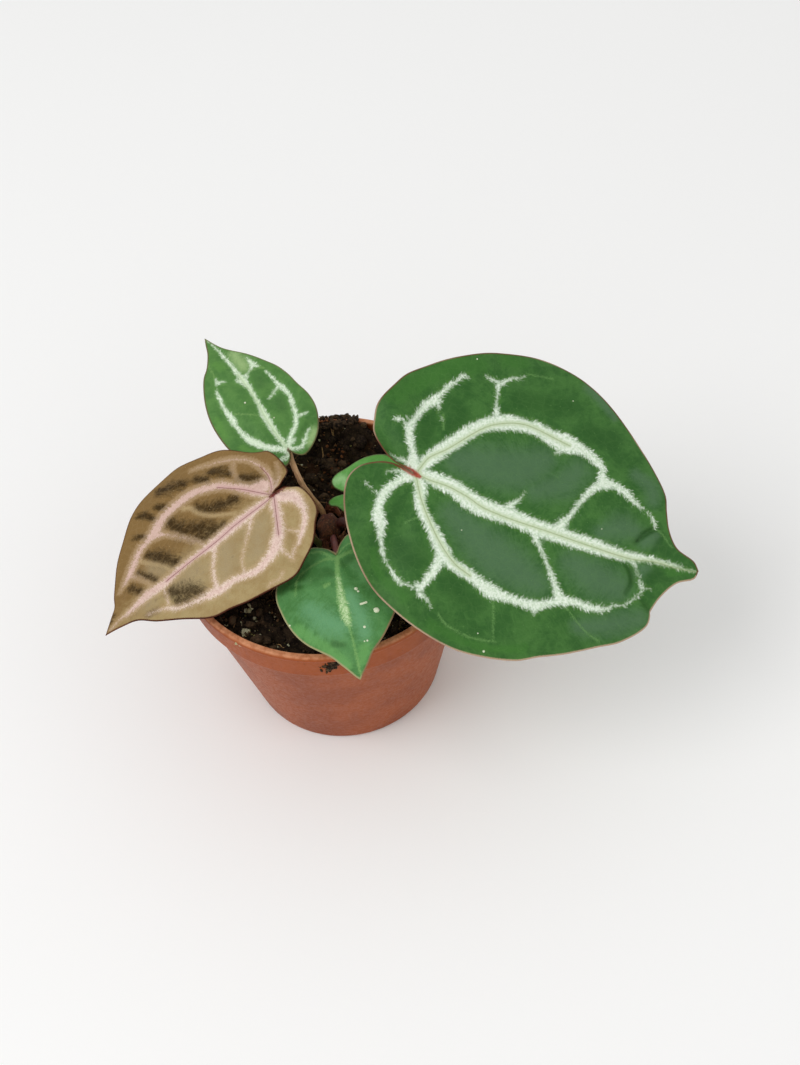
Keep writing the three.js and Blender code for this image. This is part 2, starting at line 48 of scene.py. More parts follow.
# Camera: where it looks, from how far, and how it is held. The lights aim at
# LIGHT_TARGET, which is in metres.
AIM = Vector((22, 0, 65))
CAMERA_HEIGHT = math.radians(53)
CAMERA_DISTANCE = 450
CAMERA_ROLL = math.radians(-6)
PHOTO_LONG_SIDE = 1065
FOCAL_PIXELS = 1500
SENSOR = 36
LIGHT_TARGET = (0.01, 0.0, 0.07)

# Leaf blades
BLADE_THICKNESS = 0.8
EDGE_THICKNESS = 0.45
EDGE_INSET = 0.22
VEIN_SAMPLE = 0.2
NO_BAND = -30.0
TEETH_LEAN = 0.6
TEETH_FAN = 1.2
TONE_SOFTNESS = {"sheen": 7.0, "deep": 3.2, "fresh": 3.6}
WIDE_TONE = 2.5
NO_SEAM = 9.0
STROKE_APART = 37.0
BLOCK = 4000
SPECK_SIDES = 12
SPECK_PROFILE = [(1.0, -0.3), (0.95, 0.12), (0.55, 0.3)]
STALK_RINGS, STALK_SIDES = 90, 20
STALK_ROOT = 4.0
STALK_END = 0.55

# Each leaf repeats its place, outline and bend from the solids. A vein or a patch of tone is a
# stroke: points of its middle line, each (x, y, width), along and to the left of the leaf.
# Sheen strokes are painted sheen. The strokes of the dark tone are dark patches together with
# painted shade, in the creases near the tip and in the puckered cells of the bronze leaf.
LARGE_LEAF = {
    "name": "large_leaf",
    "place": (28.4, -7.3, 100), "heading": -19.4, "dip": 15.4, "roll": 21.6,
    "length": 84.5, "arch": 7, "dome": 5, "wave": 1.3, "waves": 9, "puff": 0.8,
    "edge_points": 768, "rings": 116,
    "tip": (84.5, 1.5), "notch": (-1.5, 0.3),
    "left": [(82.5, 3.5), (76.5, 5.5), (73, 9.5), (71, 14.5), (69.5, 19.5), (64, 26.5),
             (57.5, 32.5), (50, 38), (41, 43.2), (33, 46.3), (22.5, 47.5), (11.5, 44.5), (1.5, 39),
             (-5.5, 34.5), (-11.5, 29), (-14.5, 23), (-17, 16.5), (-16.5, 12), (-15.5, 8.5),
             (-12, 4.5), (-8.5, 1.9)],
    "right": [(84, -1), (79.5, -4), (76.5, -8.5), (75, -13), (75, -18), (69, -25), (63, -28.7),
              (54, -34), (47.5, -37), (42.5, -39.5), (32.5, -41.5), (24, -42), (14, -40.5),
              (5.5, -37.5), (-2.5, -33), (-10, -26), (-15.5, -17), (-18, -10.5), (-18, -6),
              (-16, -2), (-11.5, 0.5), (-7.5, 1.1)],
    "silver": [
        [(0, 0.5, 3), (1.5, 1, 3.3), (6, 0.5, 4.8), (10.5, 0, 4.8), (15, -1.5, 5.5),
         (19.5, -2.5, 5.5), (27.5, -2.5, 5.1), (36, -3, 4.9), (53, -2.5, 4.5), (61.5, -2, 3.4),
         (69.5, -0.5, 2.2), (83.5, 1, 0.5)],
        [(0, 2, 3.2), (1.5, 5, 4), (4.5, 9.5, 4.4), (13, 20, 4.4), (19, 23.5, 5.1), (24, 24.5, 4.1),
         (27.5, 25, 4.3), (34, 24, 5.2), (37, 24, 6), (42.5, 24, 3.4), (48, 22, 3), (49.5, 21, 2.3),
         (50, 19, 2.4), (51.5, 16.5, 4.1), (53.5, 17, 2.7), (57.5, 16, 2.6), (61.5, 14, 1.7),
         (64, 13, 0.4)],
        [(65.5, 12.5, 0.7), (67, 11.5, 0.9), (68.5, 9.5, 1.1)],
        [(37.5, 22.5, 2), (35.5, 20, 0.3)],
        [(51, 16.5, 3), (48.5, 13.5, 2.4), (46, 8.5, 1.6), (44.5, 4, 1.6), (43, 1, 2.5),
         (42.5, -1, 3.9)],
        [(27, 0, 2.4), (29.5, 3.5, 0.6), (30, 5.5, 0.3)],
        [(16, 25, 2.2), (15, 29, 0.8), (14, 34.5, 1.7)],
        [(14, 34.5, 1.7), (13, 35.5, 1.3), (11.5, 35.5, 1.1), (10, 36, 0.5)],
        [(14, 34.5, 1.7), (17.5, 38, 1), (19.5, 39, 0.8), (20.5, 40, 0.3)],
        [(-1, 1.5, 3.5), (-2, 3, 4), (-3, 6, 2.5), (-4, 7.5, 2.4), (-6, 12, 2.9), (-5.5, 16, 2.1),
         (-3.5, 21.5, 2.8), (-2, 23, 3.2), (-1, 25.5, 1.8), (1, 29.5, 1.7), (2, 30.5, 1.3),
         (4, 33.5, 1.3), (5, 33.5, 0.4)],
        [(-1, 23.5, 2.2), (0, 20.5, 0.4)],
        [(1.5, 18.9, 0.5), (1.8, 18.4, 0.5)],
        [(-7, 12.5, 1.9), (-9, 14, 0.5), (-10, 14, 1.6), (-11, 13.5, 0.7)],
        [(-7, 14, 0.8), (-8, 15.5, 0.2)],
        [(-2, 2.5, 2.1), (-9, 3.5, 0.5)],
        [(-3, -1, 2.1), (-5.5, -0.5, 1), (-8.5, -1.5, 0.3)],
        [(0, -0.5, 3.3), (2, -3, 3.9), (3, -7, 3.4), (9, -13.5, 3.6), (13, -17.5, 4.6),
         (14.5, -19, 4), (17, -20.5, 3.7), (20, -21, 3.7), (25, -22.5, 3.3), (29.5, -24, 4.2),
         (34, -24, 3), (40, -24, 2.9), (43, -23.5, 3.5), (45.5, -22, 2.5), (50, -19.5, 3.1),
         (53, -19, 2.4), (56.5, -19, 2.4), (61.5, -18, 1.7), (62.5, -17.5, 1.2), (64, -16, 0.7),
         (66.5, -15, 0.6), (70, -10.5, 0.8), (70, -8.5, 1.2), (69, -7.5, 0.7), (66.5, -4, 0.5),
         (65.5, -3, 1.6)],
        [(43, -23.5, 2.4), (43, -26, 0.8)],
        [(70.5, -8.5, 0.5), (72.5, -8, 0.3)],
        [(36, -4, 3), (37, -6, 2.4), (38.5, -7.5, 1.4), (46, -16, 2), (48.5, -19.5, 3.6)],
        [(13, -18.5, 3.3), (13, -22, 3), (10.5, -30, 2.2)],
        [(10.5, -29.5, 1.8), (9.5, -29, 1.8), (8, -30, 0.4), (5.5, -29.5, 0.2)],
        [(11, -31, 1.8), (13.5, -32, 0.8), (15, -33.5, 0.4)],
        [(-1, 0, 3), (-2, -1, 3.3), (-4, -2.5, 2.8), (-7, -7, 3.1), (-7.5, -9.5, 3.1),
         (-7.5, -11.5, 2.8), (-7, -14, 3.7), (-6, -15.5, 3.8), (-5, -17, 3), (-4.5, -19, 2.3),
         (-3.5, -21, 1.2), (-2.5, -23, 1.4), (-1.5, -24.5, 0.5)],
        [(-1.8, -24.2, 0.4), (0, -26, 0.5), (2.5, -28, 1.1), (4.5, -29.5, 1.3), (8, -29.8, 0.5)],
        [(-13, -6.5, 0.3), (-11.5, -7, 0.5)],
        [(-10.5, -8, 0.3), (-9, -8, 0.8)],
    ],
    "seams": [
        [(0, 0.5), (4, 0), (9, 0), (15, -1), (20, -2.5), (27.5, -3), (36, -3), (65, -2),
         (71.5, -0.5), (78, 0), (84, 1)],
        [(0, 2), (1.5, 6), (5.5, 10), (13.5, 19.5), (17.5, 22.5), (24.5, 25), (38, 24)],
        [(0, -0.5), (3.5, -6.5), (11.5, -15.5), (17.5, -20), (22, -21.5)],
    ],
    "pale": [
        [(50.5, -21, 0.3), (59, -26, 0.25), (63, -27, 0.2)],
        [(31, -26.5, 0.4), (34.5, -36.5, 0.3)],
        [(1, -13.5, 0.3), (4, -11, 0.3)],
        [(17.5, -34.5, 0.4), (20.5, -36.5, 0.5), (23.5, -37, 0.3), (28.5, -37.5, 0.4),
         (35, -36.5, 0.3)],
        [(21, 41, 0.4), (28.5, 42, 0.3)],
        [(69, 9, 0.4), (75, 5, 0.3)],
        [(1.5, 20.5, 0.3), (3, 15.5, 0.4)],
    ],
    "crimson": [[(-6.5, 1.1, 0.5), (-5, 1, 1), (-3, 0.8, 1.7), (-1, 0.4, 1.6), (0.9, 0, 0.7)]],
    "sheen": [
        [(9.8, 8, 6), (18, 9.5, 10), (25, 11, 11), (30, 14, 9), (33, 17, 5)],
        [(33, 7, 4), (40, 12, 6), (43, 17, 5)],
        [(59.5, 22.5, 2.3), (65, 20, 3.4), (66, 16.5, 2.8)],
        [(39.5, 43, 2.3), (49, 37, 1.5)],
        [(12, -7, 4), (27, -14, 10), (35, -16, 8), (41, -18, 5)],
        [(49, -9, 5), (56, -11, 8), (63, -11, 6)],
        [(56, -25, 3), (61.5, -23, 4), (67, -20, 4.5), (72, -17, 3.5)],
        [(54, 2, 3), (59.5, 5.3, 5), (63.5, 5.6, 3)],
        [(66.5, 3.4, 2.6), (68, 5, 3), (69.3, 6.6, 2)],
        [(68.2, -4.6, 3), (69.3, -3, 2.2)],
    ],
    "deep": [
        [(21, 32, 5), (29, 33, 6), (35, 34, 4)],
        [(43, 30, 4.6), (49.5, 29.5, 5.8)],
        [(2.5, 23, 5), (6, 20, 5.8), (5.5, 16, 4.3)],
        [(-1.5, 16.5, 3.6), (-0.5, 11, 3.6)],
        [(1, -21, 4.8), (6, -21.5, 5.9), (8.5, -22.5, 3.5)],
        [(17, -26, 4.2), (22, -27.5, 4.7), (27.5, -28.5, 4)],
        [(71, 4.5, 2.1), (73.5, 3, 2.5)],
        [(71, -5.5, 2.3), (74, -3.7, 3)],
        [(70, 9.2, 0.8), (67.6, 7.4, 1.5), (64.6, 2.6, 0.8)],
        [(71.5, 7.2, 1.2), (71, 4.6, 1.6), (70, 2.2, 0.9)],
        [(62.5, -3.6, 0.8), (65.2, -5.2, 1.4), (66.6, -8, 1.6), (66.2, -11.6, 1.2)],
        [(71, -6.4, 1.4), (78, -3.4, 0.9)],
        [(70.6, -11.4, 0.8), (74.6, -13.6, 0.9)],
    ],
    "fresh": [
        [(-12.5, 21, 5), (-7, 28.5, 5.5), (0.5, 35, 4.7), (7.5, 38, 3.9)],
        [(-5, -23.5, 1.5), (-3, -27.5, 1.8), (2.5, -31.5, 2.3), (7, -33.5, 2.6)],
        [(16.5, -38, 2.7), (23, -39, 2.3), (29.5, -39, 1.7), (37, -38, 1.7), (43, -36, 2.3)],
        [(14, 43, 3.8), (19, 44, 3.2)],
        [(76, -2, 2), (81, 0, 2)],
    ],
    # Swellings of the tip cells: x, y, half length, half width, height
    "swells": [(57, 5, 8, 4.5, 1.1), (58, -10.5, 9, 5.5, 1.3), (68.5, 5, 2.4, 3, 1),
               (69.5, -3.8, 2.6, 2.6, 0.9), (20, 9, 13, 6, 0.5), (32, -13.5, 10, 6, 0.5)],
    # Creases: middle line and depth
    "creases": [
        [(70, 9.4, 0.8), (67.6, 7.4, 1.4), (65.6, 5, 1.3), (64.4, 2.4, 0.6)],
        [(62.5, -3.4, 0.6), (65.2, -5, 1.2), (66.8, -8, 1.4), (66.2, -11.8, 0.6)],
        [(70.4, -11.1, 0.7), (75, -13.8, 1.2)],
    ],
    "specks": [(16.5, -10.5, 0.15), (35.9, 37.1, 0.18), (5.9, 39.7, 0.22), (33, -39.8, 0.32),
               (29.8, -35.8, 0.18), (53.9, 2.8, 0.14)],
    "stalk": {"radius": 1.4, "knee": 7, "base": 2.1,
              "route": [(3, 3, 64.5), (5.5, 1.5, 71), (10.5, -5, 75), (16, -11, 80.5),
                        (23, -11, 88)]},
}

BRONZE_LEAF = {
    "name": "bronze_leaf",
    "place": (-13.4, -0.5, 90), "heading": -149, "dip": 16.9, "roll": 0.6,
    "length": 62.5, "arch": 4, "dome": 3, "wave": 1, "waves": 8, "puff": 0.7, "softness": 2.0,
    "edge_points": 512, "rings": 84,
    "tip": (62.5, -3), "notch": (-1.2, 0.1),
    "left": [(57.5, -1), (52.5, 1.5), (48, 6.5), (41.5, 12), (35, 17), (29.5, 19), (23, 22.5),
             (16, 24.5), (10, 25), (5, 23), (-0.5, 21), (-4.5, 16.5), (-7.5, 12), (-8, 7),
             (-6.5, 2.5), (-4.5, 0.5)],
    "right": [(58, -6.7), (55.7, -8.7), (54, -12), (48.7, -18.7), (42, -24), (35.5, -28.5),
              (29, -31.5), (20, -32.8), (15.3, -32.3), (8.5, -28.5), (2.5, -24.5), (-2.5, -19),
              (-7, -14), (-8, -11), (-8.5, -6), (-7.5, -2.5), (-4, -0.2)],
    "silver": [
        [(0, 0.5, 0.5), (3, 0, 3.2), (23.5, -0.5, 4.1), (27, -1, 3.1), (32, -1.5, 3.1),
         (37.5, -1.5, 3.4), (41.5, -2, 3.9), (45.5, -3, 4), (53, -3, 2.5), (56, -3.5, 1.4),
         (60.5, -3, 0.8)],
        [(0.5, -0.5, 1.7), (2.5, -4, 3.9), (7.5, -12, 3.5), (9.5, -14.5, 3.9), (16, -19, 3.8),
         (19, -20, 4.2), (22, -20.5, 4), (28, -20.5, 3.8), (33, -18.5, 4.4), (36.5, -18, 3),
         (39.5, -17.5, 3.1), (46, -14, 3.3), (52, -11.5, 0.7)],
        [(33, -17.5, 3.9), (31, -15.5, 1.9), (29, -12.5, 1.7), (24, -2.5, 1.3)],
        [(46, -12.5, 2), (44.5, -9, 1), (43.5, -6, 0.8), (43, -3.5, 1.2)],
        [(0, -1, 2.3), (-2, -3, 2.5), (-3, -6, 2.3), (-3, -10, 2), (-2, -14.5, 1.8),
         (0, -17.5, 1.6), (9.5, -25, 1.3), (13.5, -27.5, 0.7)],
        [(0.5, -4.5, 6), (3.5, -7, 2.8)],
        [(0.8, 2.4, 3.6), (3, 3.8, 1.6)],
        [(-1, -1.5, 2.6), (-4, -3, 1.2), (-6, -5, 0.9), (-7, -7, 0.6)],
        [(2.5, -18, 1.4), (3.5, -17, 1.1), (4.5, -13.5, 0.8), (5, -10.5, 1.2)],
        [(0, 1.5, 3.4), (5, 11, 3.6), (7.5, 13.5, 4.3), (10.5, 15.5, 3.9), (14, 16, 3.7),
         (17, 16, 3.5), (23.5, 13, 2.7), (27.5, 12.5, 3.3), (31, 11.5, 3.4), (34.5, 10.5, 2.1),
         (41, 8, 1.7), (43, 6, 1.7), (45.5, 4, 1), (49, 2.5, 0.7)],
        [(22, -0.5, 3.9), (23, 2, 2.1), (26.5, 6, 1.4), (29, 11, 2.4)],
        [(9, 1.5, 2.2), (13, 5, 0.8), (18.5, 9.5, 0.6), (19.5, 11.5, 0.6), (20.5, 13.5, 1.7)],
        [(41, -0.5, 1.3), (41.5, 2, 0.9), (42.5, 4.5, 1), (43.5, 5.5, 1.3)],
        [(-0.5, 1, 3.5), (-1.3, 2, 4.6), (-3.2, 4, 5), (-4.3, 6, 4.4), (-4.5, 8.5, 3.2),
         (-3.5, 12, 2.5), (-1.5, 14.5, 2.9), (1, 16, 2.6), (3, 17.5, 1.5), (5.5, 18.5, 1),
         (7.5, 20.5, 1)],
        [(4.5, 11, 1.8), (3, 12.5, 0.8), (0.5, 15.5, 1.3)],
        [(8, 16, 2), (8, 18, 1), (7.5, 19, 1.2), (7.5, 20.5, 0.6)],
        [(12, 22, 0.5), (13.5, 23, 0.6), (16, 23, 0.4)],
        [(16, 22.3, 0.4), (17.5, 23, 0.4)],
    ],
    "seams": [
        [(0, 0.5), (14, -0.4), (19, -0.2), (38, -1.7)],
        [(0, 0), (5.2, -8), (10, -14.2)],
        [(0, -0.5), (-1.8, -3), (-2.8, -6), (-2.8, -10)],
        [(0, 1), (5.6, 11.4)],
    ],
    # On this leaf the pale strokes are painted highlights along its folds
    "pale": [
        [(22, -17.5, 1.5), (20.5, -16, 1.3), (19.7, -12.8, 1), (17.7, -9.3, 1), (11.5, -3.5, 0.9)],
        [(41.5, -14.5, 1.2), (35.5, -3, 0.8)],
    ],
    "crimson": [[(-4, 0.8, 0.3), (-2, 0.5, 0.7), (0, 0.3, 0.9), (0.8, 0, 0.5)]],
    "sheen": [
        [(19.5, 3.5, 3.5), (24.5, 9.7, 3.5)],
        [(32, 2.5, 5), (37, 2.5, 3)],
        [(9, 5, 4), (14, 11.5, 4)],
        [(40, -8.7, 2.6), (37.5, -5, 2.6)],
        [(46.5, -0.7, 2.6), (47, 0, 2.6)],
    ],
    "deep": [
        [(3.8, -11.7, 2.5), (1.6, -8.9, 3.1), (-1.3, -5.3, 1.7)],
        [(18.5, -14.4, 2.1), (16.5, -11, 2.7), (9, -7.3, 2.3)],
        [(28.3, -17.8, 2.5), (24.5, -9.7, 4.5), (21.4, -6.7, 4.4), (18.6, -3.3, 3.1),
         (16, -3.2, 1.7)],
        [(26, -7.9, 1.9), (22.3, -3.3, 1.9)],
        [(38.7, -14, 2.1), (36.5, -10, 3.4), (33.8, -4.6, 2.8)],
        [(44.2, -11.7, 1.6), (41, -4.6, 1.2)],
        [(40, 2, 2.5), (37.3, 5.4, 3.8), (33.7, 8.4, 2.9), (33, 10, 1.2)],
        [(39.7, 6.5, 2.5), (38, 8.3, 2)],
        [(48.5, -9.3, 1.7), (46.7, -5.7, 1.7)],
        [(48.8, 2.7, 1.3), (46.2, 3.4, 1.2)],
        [(14, -22.8, 1.9), (11.6, -19.4, 1.9)],
        [(9.2, -20.7, 2.1), (6.3, -17.7, 2.5), (5, -15.6, 1.4)],
        [(24.2, -28.8, 2.4), (20.6, -26.7, 2.9), (17.5, -24.4, 2.2)],
        [(28, -24.8, 1.4), (26, -22.7, 1.9)],
        [(33.6, -26.4, 1.4), (31.8, -24.8, 1.8), (30.7, -22.3, 1.3)],
        [(38.8, -22, 0.6), (36, -19.6, 0.9)],
        [(57.5, -6.2, 0.3), (60.5, -4.3, 0.3)],
    ],
    "fresh": [
        [(11, -31.3, 1.4), (2, -22.4, 1.8)],
        [(-6, -7, 1.6), (-4, -13, 1.6)],
    ],
    "swells": [(14.5, -11.5, 5, 3, 0.5), (22, -9, 6, 3.4, 0.6), (37, -9, 4, 4, 0.5),
               (3, -10, 4, 2.5, 0.4), (9, -20, 5, 2, 0.4), (21, -26, 4, 2.4, 0.4),
               (30, -25, 3, 2.4, 0.35)],
    "creases": [],
    "specks": [],
    "stalk": {"radius": 1.1, "knee": 6, "base": 1.7,
              "route": [(-1.5, -2, 64.5), (-3.2, -3.8, 71), (-7.5, -3, 79)]},
}

UPPER_LEAF = {
    "name": "upper_leaf",
    "place": (-8.6, 19.7, 86), "heading": 119.6, "dip": -9.7, "roll": -4.6,
    "length": 49, "arch": 2, "dome": 2, "wave": 0.5, "waves": 6, "puff": 0.5,
    "edge_points": 384, "rings": 64,
    "tip": (49, -0.5), "notch": (-1, 0),
    "left": [(46.5, 0.6), (43, 2), (38.5, 5), (36, 7.5), (31.5, 10.3), (26.5, 12.5), (21, 14),
             (14.5, 14.5), (8.5, 14.2), (3.5, 12.5), (-1, 9.5), (-4.5, 6), (-5, 3.7), (-4, 1.7),
             (-2.4, 0.4)],
    "right": [(43, -3), (36, -8.5), (31, -11.5), (27, -13.5), (22.5, -14.5), (18, -14.8),
              (12, -15.5), (7.5, -15), (3, -13), (-1.5, -9.5), (-4, -6), (-4.5, -2.5),
              (-3.3, -0.9), (-2, -0.3)],
    "silver": [
        [(0, 0, 1.6), (7, 0, 1.9), (13.5, -0.5, 2.4), (16.5, -1, 1.6), (25, -2, 1.7),
         (28, -1.8, 2.6), (30.5, -1.8, 1.7), (41, -1.6, 0.8), (48, -0.7, 0.2)],
        [(0, 0.5, 1.9), (4, 5, 2.5), (9, 7.5, 2.6), (11.5, 8, 1.7), (16.5, 8.3, 1.5),
         (18.5, 8, 2.2), (23, 8, 1.2), (27.5, 7.3, 1.2), (30, 6.6, 0.4)],
        [(31.5, 5.5, 0.4), (32.5, 5, 0.9), (33.5, 4.7, 0.5)],
        [(32, 5, 1.1), (31, 3, 0.4)],
        [(28, -1.8, 2.1), (29, -0.2, 1)],
        [(0.5, -1, 1.9), (2.5, -2.5, 1.7), (5.5, -6.5, 1.5), (9.5, -8.7, 1.3), (14, -10.2, 1.3),
         (16, -10.6, 1.3), (19, -10.4, 1.5), (27.5, -9.5, 0.4)],
        [(30.3, -8.4, 0.6), (31.7, -7.6, 1.6), (35, -7.3, 0.3)],
        [(31.5, -7.2, 1.4), (30, -5, 0.4)],
        [(29.5, -4, 0.9), (28.5, -2.9, 1.3)],
        [(20.5, -9.6, 1.2), (18, -5, 0.4)],
        [(7.5, -8.5, 1.4), (7, -11.6, 0.4)],
        [(-0.5, -0.5, 2), (-1.5, -2, 1.1), (-2.3, -3.4, 1.2), (0.7, -7, 1.1), (2.4, -9.6, 0.3)],
        [(1, -2.3, 1.4), (1.4, -4, 0.3)],
        [(-0.8, 1, 1.6), (-2, 1.2, 1.3), (-2.5, 3.7, 1.3)],
    ],
    "seams": [[(0, 0), (7, 0), (13.5, -0.5), (22, -1.5), (30, -1.8)]],
    "pale": [
        [(19.5, 6.6, 0.3), (14.6, 1.3, 0.3)],
        [(34, 4.6, 0.4), (39, 4, 0.2)],
        [(28.8, -9.4, 0.8), (30.3, -8.4, 0.8)],
    ],
    "crimson": [[(-1.5, 0, 0.35), (-0.3, 0, 0.5)]],
    "sheen": [[(38, -4.5, 2.6), (33, -5, 3.5)], [(-2, -6.5, 2), (0.5, -10, 2)]],
    "deep": [[(13, -6.5, 2.5), (16, -7, 2.5)], [(24, -5, 3), (26, -6, 2)]],
    "fresh": [[(15, 13, 1.6), (21, 12, 1.8)], [(36, 1, 2.5), (38, 2, 2)], [(8, 11, 2), (4, 9, 2)]],
    "swells": [(12, -5, 7, 2.6, 0.4), (14, 4, 9, 2.6, 0.35)],
    "creases": [],
    "specks": [(20.6, 2, 0.3), (11.2, -2.4, 0.2)],
    "stalk": {"radius": 0.9, "knee": 2.4, "base": 1.35,
              "route": [(0, 6, 64.5), (-0.7, 7.7, 70), (-3.6, 9.6, 75.5), (-5.9, 12.2, 79.5)]},
}

LOWER_LEAF = {
    "name": "lower_leaf",
    "place": (3.7, -19.8, 83), "heading": -83.9, "dip": 10.7, "roll": 1.2,
    "length": 37, "arch": 2, "dome": 2, "wave": 0.7, "waves": 6, "puff": 0.5,
    "edge_points": 384, "rings": 60,
    "tip": (37, -0.5), "notch": (-1, -0.2),
    "left": [(33, 2.5), (30, 4.5), (27, 7.5), (23, 10.5), (19.5, 12.7), (15, 14.7), (9.5, 16),
             (4.5, 15.5), (0, 13), (-4, 9), (-6.5, 6), (-6.5, 3.7), (-4.4, 1.4), (-2, 0.2)],
    "right": [(36, -1.5), (34, -3), (31.5, -5), (29, -7), (26.5, -10), (24, -13), (21, -15.5),
              (17, -17.5), (13.5, -18.5), (9.5, -19.2), (5.5, -18.7), (1.5, -17), (-1.5, -14),
              (-3.5, -10.5), (-4.2, -7), (-4.2, -4.5), (-3.4, -2.3), (-1.9, -0.8)],
    "silver": [
        [(6, -1, 0.1), (15, -1.2, 1.8), (17.5, -1, 1.9), (21, -0.6, 0.5)],
    ],
    "seams": [],
    "pale": [
        [(0, 0, 1.2), (5, -0.9, 1.2), (15, -1.2, 2.4), (19.5, -0.8, 2), (21, -0.6, 0.8),
         (35.5, -0.1, 0.6)],
        [(0.4, -1, 1), (0.2, -4, 0.6), (4, -12, 0.35), (9.5, -13.7, 0.2)],
        [(-0.2, -1.7, 0.6), (-2.4, -4.8, 0.4), (-2.4, -8, 0.2)],
        [(0.3, 0.2, 0.9), (-0.9, 4.8, 0.6), (1, 9, 0.5), (5, 12, 0.4), (9, 12, 0.3)],
        [(-1, 0.5, 0.4), (-3, 3, 0.3), (-3, 7, 0.3)],
        [(8.2, -5.1, 0.9), (7.6, -3.8, 0.9)],
    ],
    "crimson": [],
    "sheen": [
        [(14.6, -10.3, 3.5), (18.4, -7, 4.6), (21, -3.3, 4)],
        [(12.8, 1.2, 2.6), (17.8, 2.5, 3.1), (24, 3, 3.1)],
    ],
    "deep": [
        [(4.3, -11, 2.1), (4.8, -8.1, 2.9), (4.1, -4.3, 2.7), (4.9, -2.1, 1.5)],
        [(2.4, 1.3, 2.2), (1.7, 3.2, 2)],
        [(6.8, -17.3, 2.1), (6.1, -15.1, 2), (7, -12.3, 1.9)],
        [(25.4, -5.6, 1.6), (26.5, -2.9, 1)],
    ],
    "fresh": [
        [(19.3, -14.5, 2.9), (26.8, -7.3, 2.5), (32.3, -3.2, 2.2)],
        [(28.4, 2.5, 2.5), (32, 1, 2)],
    ],
    "swells": [(6, -7, 5, 4, 0.5), (17, -7, 7, 4, 0.4), (16, 5, 8, 4, 0.4)],
    "creases": [[(6.5, -1.5, 0.25), (6.8, -7, 0.4), (6.5, -14, 0.3)]],
    "specks": [(10.8, 3.3, 0.5), (11.7, 3.8, 0.32), (15.8, 3.8, 0.35), (15.7, 4.3, 0.35),
               (15.6, 4.8, 0.35), (15.5, 5.3, 0.35), (18.3, 7.7, 0.8), (22.7, 3.5, 0.36),
               (26.7, 2.7, 0.2), (26.7, 3.5, 0.26), (17.7, -16.7, 0.26)],
    "stalk": {"radius": 1, "knee": 3, "base": 1.5,
              "route": [(2, -1.5, 64.5), (2.3, -4, 71), (2.9, -11, 77.5)]},
}

YOUNG_LEAF = {
    "name": "young_leaf",
    "place": (9.2, 4.6, 80), "heading": -25.7, "dip": -9.8, "roll": 19.5,
    "length": 24, "arch": 1, "dome": 1, "wave": 0.3, "waves": 5, "puff": 0.3,
    "edge_points": 256, "rings": 40,
    "tip": (24, 0.5), "notch": (-1.2, 0),
    "left": [(20.5, 4), (16, 8.5), (11.5, 12), (6.8, 13.8), (2.4, 12.8), (-1.2, 10.8), (-4.5, 8),
             (-7, 5.5), (-7.7, 3), (-6.5, 1.3), (-4, 0.4)],
    "right": [(20.5, -3), (15, -6.5), (9, -8), (3, -7.5), (-1.5, -5.5), (-3.7, -4.6),
              (-5.7, -4.6), (-6.9, -3.5), (-6, -1.8), (-3.6, -0.5)],
    "silver": [],
    "seams": [],
    "pale": [
        [(0, 0, 1), (22, 0.5, 0.4)],
        [(0, 0, 0.8), (2.5, 5.5, 0.6), (8, 8.5, 0.5), (14, 7.5, 0.3)],
        [(0, 0, 0.8), (3, -4, 0.6), (9, -5.5, 0.5), (14, -4.5, 0.3)],
    ],
    "crimson": [],
    "sheen": [[(-6.5, 3, 1.6), (-4.5, 4.5, 1.6), (-3, 3, 1.4)]],
    "deep": [[(-2, 6, 2), (3, 9, 3), (6, 10, 3)]],
    "fresh": [[(-6, -3, 1.6), (-3, -3, 2)], [(0, 11, 1.4), (5, 12.6, 1.2)]],
    "swells": [],
    "creases": [],
    "specks": [],
    "stalk": {"radius": 0.8, "knee": 2.6, "base": 1.25, "route": [(4.6, 6, 64.5), (6.2, 6, 71)]},
}
